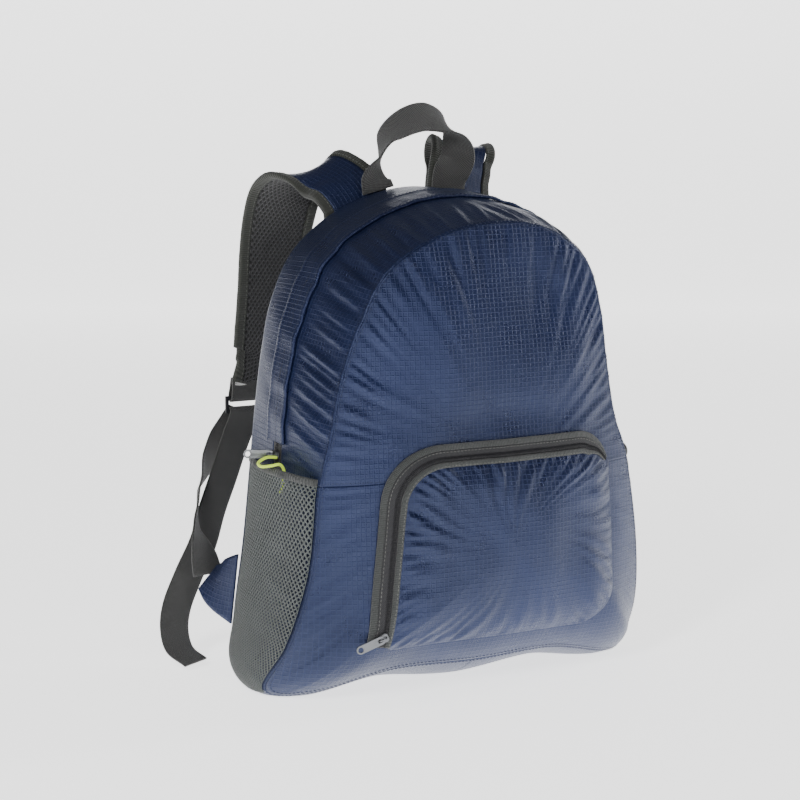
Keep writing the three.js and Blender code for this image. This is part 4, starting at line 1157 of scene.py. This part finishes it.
rounded_copy("main_slider", "main_zip_slider", "root", zinc, 0.3)
rounded_copy("main_pull", "main_zip_pull", "main_pull_tab", zinc, 0.22)
rounded_copy("pocket_slider", "pocket_zip_slider", "root", zinc, 0.3)
rounded_copy("pocket_pull", "pocket_zip_pull", "pocket_pull_tab", zinc, 0.22)
for side in ("left", "right"):
    rounded_copy(f"strap_buckle_{side}", f"ladder_buckle_{side}", "root", moulded, 0.5)

# Grab handle
# One length of grey webbing, its two feet sewn side by side into the back seam and the arch between
# them turned half over.
HANDLE_WIDTH = 30
HANDLE_THICK = 1.8
HANDLE_ROUTE = [
    ((-31, 70.4, 397), (0.97, 0.03, 0.23)),
    ((-33, 70.8, 407), (0.95, 0.25, 0.2)),
    ((-28, 72, 423), (0.5, 0.86, 0.1)),
    ((-20, 73, 441), (0.2, 0.86, 0.45)),
    ((0, 73, 454), (0.05, 0.74, 0.66)),
    ((17, 72, 457), (0, 0.65, 0.75)),
    ((34, 71, 450), (-0.2, 0.7, 0.68)),
    ((44, 71, 436), (-0.45, 0.8, 0.4)),
    ((46, 72, 422), (-0.72, 0.68, 0.1)),
    ((38, 70.6, 408), (-0.96, 0.2, 0.2)),
    ((35.5, 70.3, 396), (-0.97, 0.03, 0.25)),
]


def band_frames(rows, per_row):
    """Places, directions across and normals along a band, with its width share."""
    line = centripetal([r[0] for r in rows], per_row)
    count = len(line) - 1
    along = np.array([line[min(count, n + 1)] - line[max(0, n - 1)] for n in range(count + 1)])
    along /= np.linalg.norm(along, axis=1)[:, None]
    t = np.arange(count + 1) / per_row
    table = np.array([r[1] for r in rows], float)
    across = np.stack([np.interp(t, np.arange(len(rows)), table[:, c]) for c in range(3)], axis=1)
    across -= along * np.sum(across * along, axis=1)[:, None]
    across /= np.linalg.norm(across, axis=1)[:, None]
    width = np.interp(t, np.arange(len(rows)), [r[2] if len(r) > 2 else 1.0 for r in rows])
    return line, across, np.cross(along, across), width


def band(name, frames, low_edge, high_edge, low, high, material, columns=12, swell=None):
    """A band between two lines across its frames, from one height to another over them."""
    line, across, normal, width = frames
    share = np.linspace(0, 1, columns)[None, :]
    a = low_edge[:, None] + (high_edge - low_edge)[:, None] * share
    top = np.full(a.shape, float(high))
    bottom = np.full(a.shape, float(low))
    if swell is not None:
        top = top + swell(share, lengths_along(line)[:, None])
    centre = line[:, None, :] + across[:, None, :] * a[..., None]
    outer = centre + normal[:, None, :] * top[..., None]
    inner = centre + normal[:, None, :] * bottom[..., None]
    uv = cloth_map(a, lengths_along(line)[:, None], outer)
    piece = cloth_piece(name, outer, inner, uv, material)
    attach(piece, "root")
    return piece


def webbing_finish(name, dark, pale, pitch=1.5):
    """Coarse plain webbing: raised yarns in offset rows, darker between them."""
    web = Finish(name, roughness=0.72, sheen=0.3)
    across, along = web.flat()
    turn = 6283 / pitch
    row = (across * turn + along * (turn / 2)).sine()
    yarn = (along * turn - across * (turn / 2)).sine()
    lay = (row * yarn).ramp(-0.55, 0.75)
    tone = web.cloud(web.place(), 24.0)
    web.wear("Base Color", (lay * 0.85 + tone * 0.25).mix(dark, pale))
    web.wear("Roughness", 0.62 + 0.2 * tone)
    web.wear("Normal", web.bump(lay, 0.0005))
    return web.material


handle_web = webbing_finish("handle_webbing", (0.008, 0.008, 0.008, 1), (0.085, 0.085, 0.084, 1), 2.0)
strap_web = webbing_finish("strap_webbing", (0.008, 0.008, 0.0075, 1), (0.04, 0.04, 0.038, 1), 1.5)
handle_frames = band_frames(HANDLE_ROUTE, 10)
half = np.full(len(handle_frames[0]), HANDLE_WIDTH / 2)
handle = band(
    "handle_webbing", handle_frames, -half, half, -HANDLE_THICK / 2, HANDLE_THICK / 2, handle_web, 16
)
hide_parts("grab_handle")

# Shoulder straps
# Navy nylon outside and black spacer net inside, over a thin pad, with ribbed tape round the edges.
# Each starts at the crown of the back panel, bends over and narrows to a stub of webbing.
STRAP_WIDTH = 62
STRAP_PAD = 3.6
STRAP_CLOTH = 1.2
STRAP_LIP = 8
LAYER_GAP = 0.3
EDGE_GAP = 0.8
STRAP_ROUTE = [
    ((-47.5, 74.4, 374), (0.98, 0, 0.19)),
    ((-49, 75.4, 387), (0.97, 0, 0.2)),
    ((-55, 85, 402), (0.94, -0.06, 0.26)),
    ((-61, 97, 409), (0.91, -0.2, 0.3)),
    ((-69, 111, 412), (0.87, -0.32, 0.32)),
    ((-77, 127, 406), (0.86, -0.4, 0.28)),
    ((-82, 142, 391), (0.9, -0.38, 0.16)),
    ((-84, 151, 371), (0.95, -0.25, 0.04)),
    ((-86, 157, 345), (1, -0.1, 0)),
    ((-88, 160, 312), (1, 0, 0)),
    ((-91, 161, 276), (1, 0, 0)),
    ((-96, 161, 250), (1, 0.04, 0), 0.97),
    ((-106, 159, 238), (1, 0.06, 0), 0.7),
    ((-112, 158.5, 231.5), (1, 0.06, 0), 0.48),
    ((-113, 158, 227.6), (1, 0.06, 0), 0.44),
]
RIGHT_CREST = [
    ((54, 82, 406), (0.96, 0.08, -0.24)),
    ((62, 92, 420), (0.95, 0.2, -0.2)),
    ((69, 106, 428), (0.93, 0.32, -0.16)),
    ((76, 124, 423), (0.92, 0.36, -0.13)),
    ((80, 141, 402), (0.94, 0.32, -0.06)),
]


def mirrored(rows):
    return [((-r[0][0], r[0][1], r[0][2]), (r[1][0], -r[1][1], -r[1][2]), *r[2:]) for r in rows]


def spacer_finish():
    """Black knitted spacer net: rows of small diamond holes, not cut but painted near black as painted
    shade inside them.
    """
    net = Finish("spacer_net", roughness=0.85, sheen=0.35)
    across, along = net.flat()
    one = (across + along * 0.62).pingpong(0.0019)
    two = (across - along * 0.62).pingpong(0.0019)
    wall = one.maths("MINIMUM", one, two).ramp(0.0004, 0.0008, 1.0, 0.0)
    # The cells between the walls are painted near black: painted shade in the holes.
    net.wear("Base Color", wall.mix((0.002, 0.002, 0.002, 1), (0.035, 0.035, 0.037, 1)))
    net.wear("Normal", net.bump(wall, 0.0009))
    return net.material


spacer = spacer_finish()
edge_tape = elastic_finish("strap_edge_tape", (0.015, 0.017, 0.013, 1), (0.045, 0.048, 0.04, 1), 0.0016)
tape_seams = []


def shoulder_strap(side, rows):
    frames = band_frames(rows, 10)
    line, across, normal, width = frames
    edge = STRAP_WIDTH * width / 2
    inner_edge = edge - STRAP_LIP - EDGE_GAP

    def crown(share, run):
        return 0.5 * np.sin(np.pi * share) ** 0.7 + 0.25 * fold_noise(run / 24 + share * 2, 71)

    cloth = band(
        f"strap_nylon_{side}",
        (line, across, -normal, width),
        -inner_edge,
        inner_edge,
        LAYER_GAP,
        LAYER_GAP + STRAP_CLOTH - 0.3,
        nylon,
        24,
        crown,
    )
    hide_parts(f"strap_outer_{side}")
    pad = band(
        f"strap_spacer_{side}",
        frames,
        -inner_edge,
        inner_edge,
        0,
        STRAP_PAD - 0.3,
        spacer,
        24,
        crown,
    )
    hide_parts(f"strap_pad_{side}")
    low, high = -STRAP_CLOTH - LAYER_GAP - 0.7, STRAP_PAD + 0.7
    for label, sign in (("a", 1), ("b", -1)):
        outer_line = sign * edge
        inner_line = sign * (edge - STRAP_LIP)
        share = np.linspace(0, 1, 14)[None, :]
        a = inner_line[:, None] + (outer_line - inner_line)[:, None] * share
        bulge = np.sqrt(np.clip(1 - np.clip((share - 0.72) / 0.28, 0, 1) ** 2, 0.02, 1))
        run = lengths_along(line)[:, None]
        crimp = 0.15 * np.sin(run * 2 * np.pi / 5.5)
        middle = (low + high) / 2
        reach = (high - low) / 2 * bulge
        centre = line[:, None, :] + across[:, None, :] * a[..., None]
        outer = centre + normal[:, None, :] * (middle + reach + crimp * bulge)[..., None]
        inner = centre + normal[:, None, :] * (middle - reach - crimp * bulge)[..., None]
        uv = cloth_map(a, run, outer)
        tape_piece = cloth_piece(f"strap_tape_{side}_{label}", outer, inner, uv, edge_tape)
        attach(tape_piece, "root")
        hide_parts(f"strap_binding_{side}_{label}")
        seam = inner_line + (outer_line - inner_line) * 0.16
        for height in (low - 0.12, high + 0.12):
            tape_seams.append(line + across * seam[:, None] + normal * height)
    return frames


left_strap = shoulder_strap("left", STRAP_ROUTE)
right_rows = mirrored(STRAP_ROUTE)
right_rows[2 : 2 + len(RIGHT_CREST)] = RIGHT_CREST
right_strap = shoulder_strap("right", right_rows)

# Lower straps
# A stub of webbing holds each buckle under its strap. A longer length runs from a folded nylon wing
# in the back seam up behind, over the buckle's lower bar, and down in front to a free end.
WEBBING_WIDTH = 25
WEBBING_THICK = 1.5
BUCKLE_BAR = 3.2
BUCKLE_AT = (-117, 155, 214)
BUCKLE_WINDOW = 8.4
TURN_RADIUS = BUCKLE_BAR / 2 + 0.7 + WEBBING_THICK / 2
WEBBING_BEHIND = [
    ((-171.5, 113.4, 78.6), (0.65, 0.05, 0.76)),
    ((-172.5, 118, 93), (0.78, 0.3, 0.5)),
    ((-175, 126, 116), (0.55, 0.83, 0)),
    ((-170, 135, 134), (0.4, 0.92, 0)),
    ((-163, 145, 150), (0.4, 0.92, 0)),
    ((-151, 155, 167), (0.8, 0.6, 0)),
    ((-138, 158.5, 184), (0.98, 0.2, 0)),
    ((-125, 159, 199), (1, 0, 0)),
]
WEBBING_FRONT = [
    ((-121, 151.6, 198), (1, 0, 0)),
    ((-129, 149, 182), (0.98, 0, 0.2)),
    ((-141, 147, 153), (0.95, 0, 0.3)),
    ((-152, 146.5, 126), (0.93, 0, 0.36)),
    ((-161, 146, 99), (0.9, 0, 0.42)),
    ((-176, 144, 72), (0.9, 0, 0.42)),
    ((-189, 140, 47), (0.95, 0, 0.3)),
    ((-194, 134, 30), (1, 0, 0.05)),
    ((-194, 124, 15), (1, 0, -0.05)),
    ((-187, 106, 6.5), (1, 0.15, 0)),
]
WING_THICK = 2
WING_ROUTE = [
    ((-167, 70.9, 74), (0.13, 0, 0.99), 58),
    ((-172, 92, 74.5), (0.3, 0, 0.95), 42),
    ((-172, 111.5, 76.5), (0.65, 0, 0.76), 25),
]
wing_nylon = ripstop_finish("wing_nylon", (0.008, 0.012, 0.04, 1), (0.014, 0.02, 0.06, 1))


def turn_rows(bar_height, upward):
    x, y, _ = BUCKLE_AT
    rows = []
    for degrees in (80, 40, 0, -40, -80):
        angle = math.radians(-degrees if upward else degrees)
        rise = TURN_RADIUS * math.cos(angle) * (1 if upward else -1)
        shift = -1 if upward else 0
        rows.append(((x + shift, y - TURN_RADIUS * math.sin(angle), bar_height + rise), (1, 0, 0)))
    return rows


def lower_strap(side, turned):
    x, y, z = BUCKLE_AT
    bar = BUCKLE_WINDOW / 2 + BUCKLE_BAR / 2
    long_rows = [*WEBBING_BEHIND, *turn_rows(z - bar, True), *WEBBING_FRONT]
    stub_rows = [
        ((x + 3, y + 1.2, 234), (1, 0, 0)),
        ((x + 1.5, y - TURN_RADIUS + 0.6, 226.8), (1, 0, 0)),
        *turn_rows(z + bar, False),
        ((x + 1.5, y + TURN_RADIUS + 0.6, 226.8), (1, 0, 0)),
        ((x + 3, y + 4.4, 234), (1, 0, 0)),
    ]
    for name, node, rows in (
        ("strap_webbing", "adjust_webbing", long_rows),
        ("buckle_webbing", "strap_stub", stub_rows),
    ):
        frames = band_frames(turned(rows), 6)
        half = np.full(len(frames[0]), WEBBING_WIDTH / 2)
        low, high = -WEBBING_THICK / 2, WEBBING_THICK / 2
        piece = band(f"{name}_{side}", frames, -half, half, low, high, strap_web, 14)
        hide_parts(f"{node}_{side}")
    frames = band_frames(turned(WING_ROUTE), 12)
    half = frames[3] / 2
    wing = band(f"wing_nylon_{side}", frames, -half, half, -WING_THICK / 2, WING_THICK / 2, wing_nylon, 20)
    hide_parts(f"wing_tab_{side}")


lower_strap("left", lambda rows: rows)
lower_strap("right", mirrored)

# Stitching
# Bonded thread: along the front seam, the waist, the flap, the pocket's bindings, the straps'
# tapes, and the bar tacks on the webbing.
navy_thread = plain_finish("navy_thread", (0.012, 0.02, 0.06), 0.5)
grey_thread = plain_finish("grey_thread", (0.16, 0.165, 0.15), 0.6)


def front_seam_lines():
    k = np.linspace(0, STATIONS, 900)
    on_front = front(k, np.full(k.shape, 0.988))
    on_front[:, 1] -= 0.25
    on_gusset = gusset(k, np.full(k.shape, 0.978), 0.25)
    return [on_front, on_gusset]


def waist_lines():
    share = np.linspace(0.02, 0.99, 120)
    rows = [front(np.full(share.shape, k), share) for k in (WAIST + 0.16, LEFT_WAIST - 0.16)]
    for row in rows:
        row[:, 1] -= 0.25
    return rows


def bar_tack(frames, place, reach, height, slant=0.0):
    """A close row of stitches across a band, at a share of its length."""
    line, across, normal, _ = frames
    n = int(place * (len(line) - 1))
    along = np.cross(normal[n], across[n])
    a = np.linspace(-reach, reach, 40)[:, None]
    return line[n] + across[n] * a + along * (a * slant) + normal[n] * height


white_thread = plain_finish("white_thread", (0.7, 0.7, 0.68), 0.55)
tacks = []
for strap in (left_strap, right_strap):
    tacks += [bar_tack(strap, 0.985, 13, 4.7, slope) for slope in (-0.1, 0.02)]
    tacks += [bar_tack(strap, 0.985, 13, -2.6)]
flap_lines = [flap_surface[:, 2], flap_surface[:, 19]]
pocket_seams = [inner_surface[:, 5], tape_surface[:, 1]]
STITCH_ROWS = [
    # name, lines, pitch, size of a stitch, thread, slot
    ("seam_stitches", front_seam_lines() + waist_lines(), 3.4, (2.5, 0.45, 0.4), navy_thread, "ripstop"),
    ("strap_bar_tacks", tacks, 0.55, (0.5, 1.5, 0.4), white_thread, "edge_tape"),
    ("flap_stitches", flap_lines, 3.4, (2.5, 0.5, 0.45), navy_thread, "ripstop"),
    ("strap_stitches", tape_seams, 3.6, (2.5, 0.5, 0.35), grey_thread, "edge_tape"),
    ("pocket_stitches", pocket_seams, 3.2, (2.3, 0.5, 0.4), grey_thread, "edge_tape"),
]
for name, lines, pitch, size, thread, slot_name in STITCH_ROWS:
    grain_rows(name, lines, pitch, size, thread, slot_name)

# Stage and lights
# A white sweep that glows faintly, as in a shop photograph, a soft key from the left and two long
# lights that draw bright bands down the satin cloth.
sweep_finish = Finish("white_sweep", roughness=0.9)
sweep_finish.skin.inputs["Base Color"].default_value = (0.93, 0.93, 0.93, 1)
sweep_finish.skin.inputs["Emission Color"].default_value = (1, 1, 1, 1)
sweep_finish.skin.inputs["Emission Strength"].default_value = 1.8


def white_sweep():
    """A floor that curves up into a wall behind the bag, seen square from the camera."""
    bend = [math.radians(a) for a in range(0, 91, 10)]
    outline = [(-0.9, 0.0), *((2.8 + 0.6 * math.sin(a), 0.6 - 0.6 * math.cos(a)) for a in bend), (3.4, 1.6)]
    toward = Vector((-camera.location.x, -camera.location.y, 0)).normalized()
    beside = Vector((-toward.y, toward.x, 0))
    points = [toward * d + beside * w + Vector((0, 0, h)) for d, h in outline for w in (1.9, -1.9)]
    faces = [(2 * n, 2 * n + 1, 2 * n + 3, 2 * n + 2) for n in range(len(outline) - 1)]
    mesh = bpy.data.meshes.new("white_sweep")
    mesh.from_pydata(points, [], faces)
    mesh.polygons.foreach_set("use_smooth", [True] * len(faces))
    mesh.materials.append(sweep_finish.material)
    sweep = bpy.data.objects.new("white_sweep", mesh)
    bpy.context.collection.objects.link(sweep)


white_sweep()

world = bpy.data.worlds.new("studio")
world.use_nodes = True
world.node_tree.nodes["Background"].inputs["Color"].default_value = (1, 1, 1, 1)
world.node_tree.nodes["Background"].inputs["Strength"].default_value = 0.16
bpy.context.scene.world = world


def soft_light(name, place, aim, size, power):
    data = bpy.data.lights.new(name, "AREA")
    data.shape = "RECTANGLE"
    data.size, data.size_y = size
    data.energy = power
    lamp = bpy.data.objects.new(name, data)
    lamp.location = place
    lamp.rotation_euler = (Vector(aim) - Vector(place)).to_track_quat("-Z", "Y").to_euler()
    bpy.context.collection.objects.link(lamp)


soft_light("key", (-1.7, -1.3, 1.4), (0, 0, 0.2), (0.35, 0.9), 30)
soft_light("band", (-0.25, -2.0, 0.3), (0, 0, 0.2), (0.07, 0.9), 11)
soft_light("rim", (1.9, -0.2, 0.8), (0, 0, 0.2), (0.2, 1.4), 12)
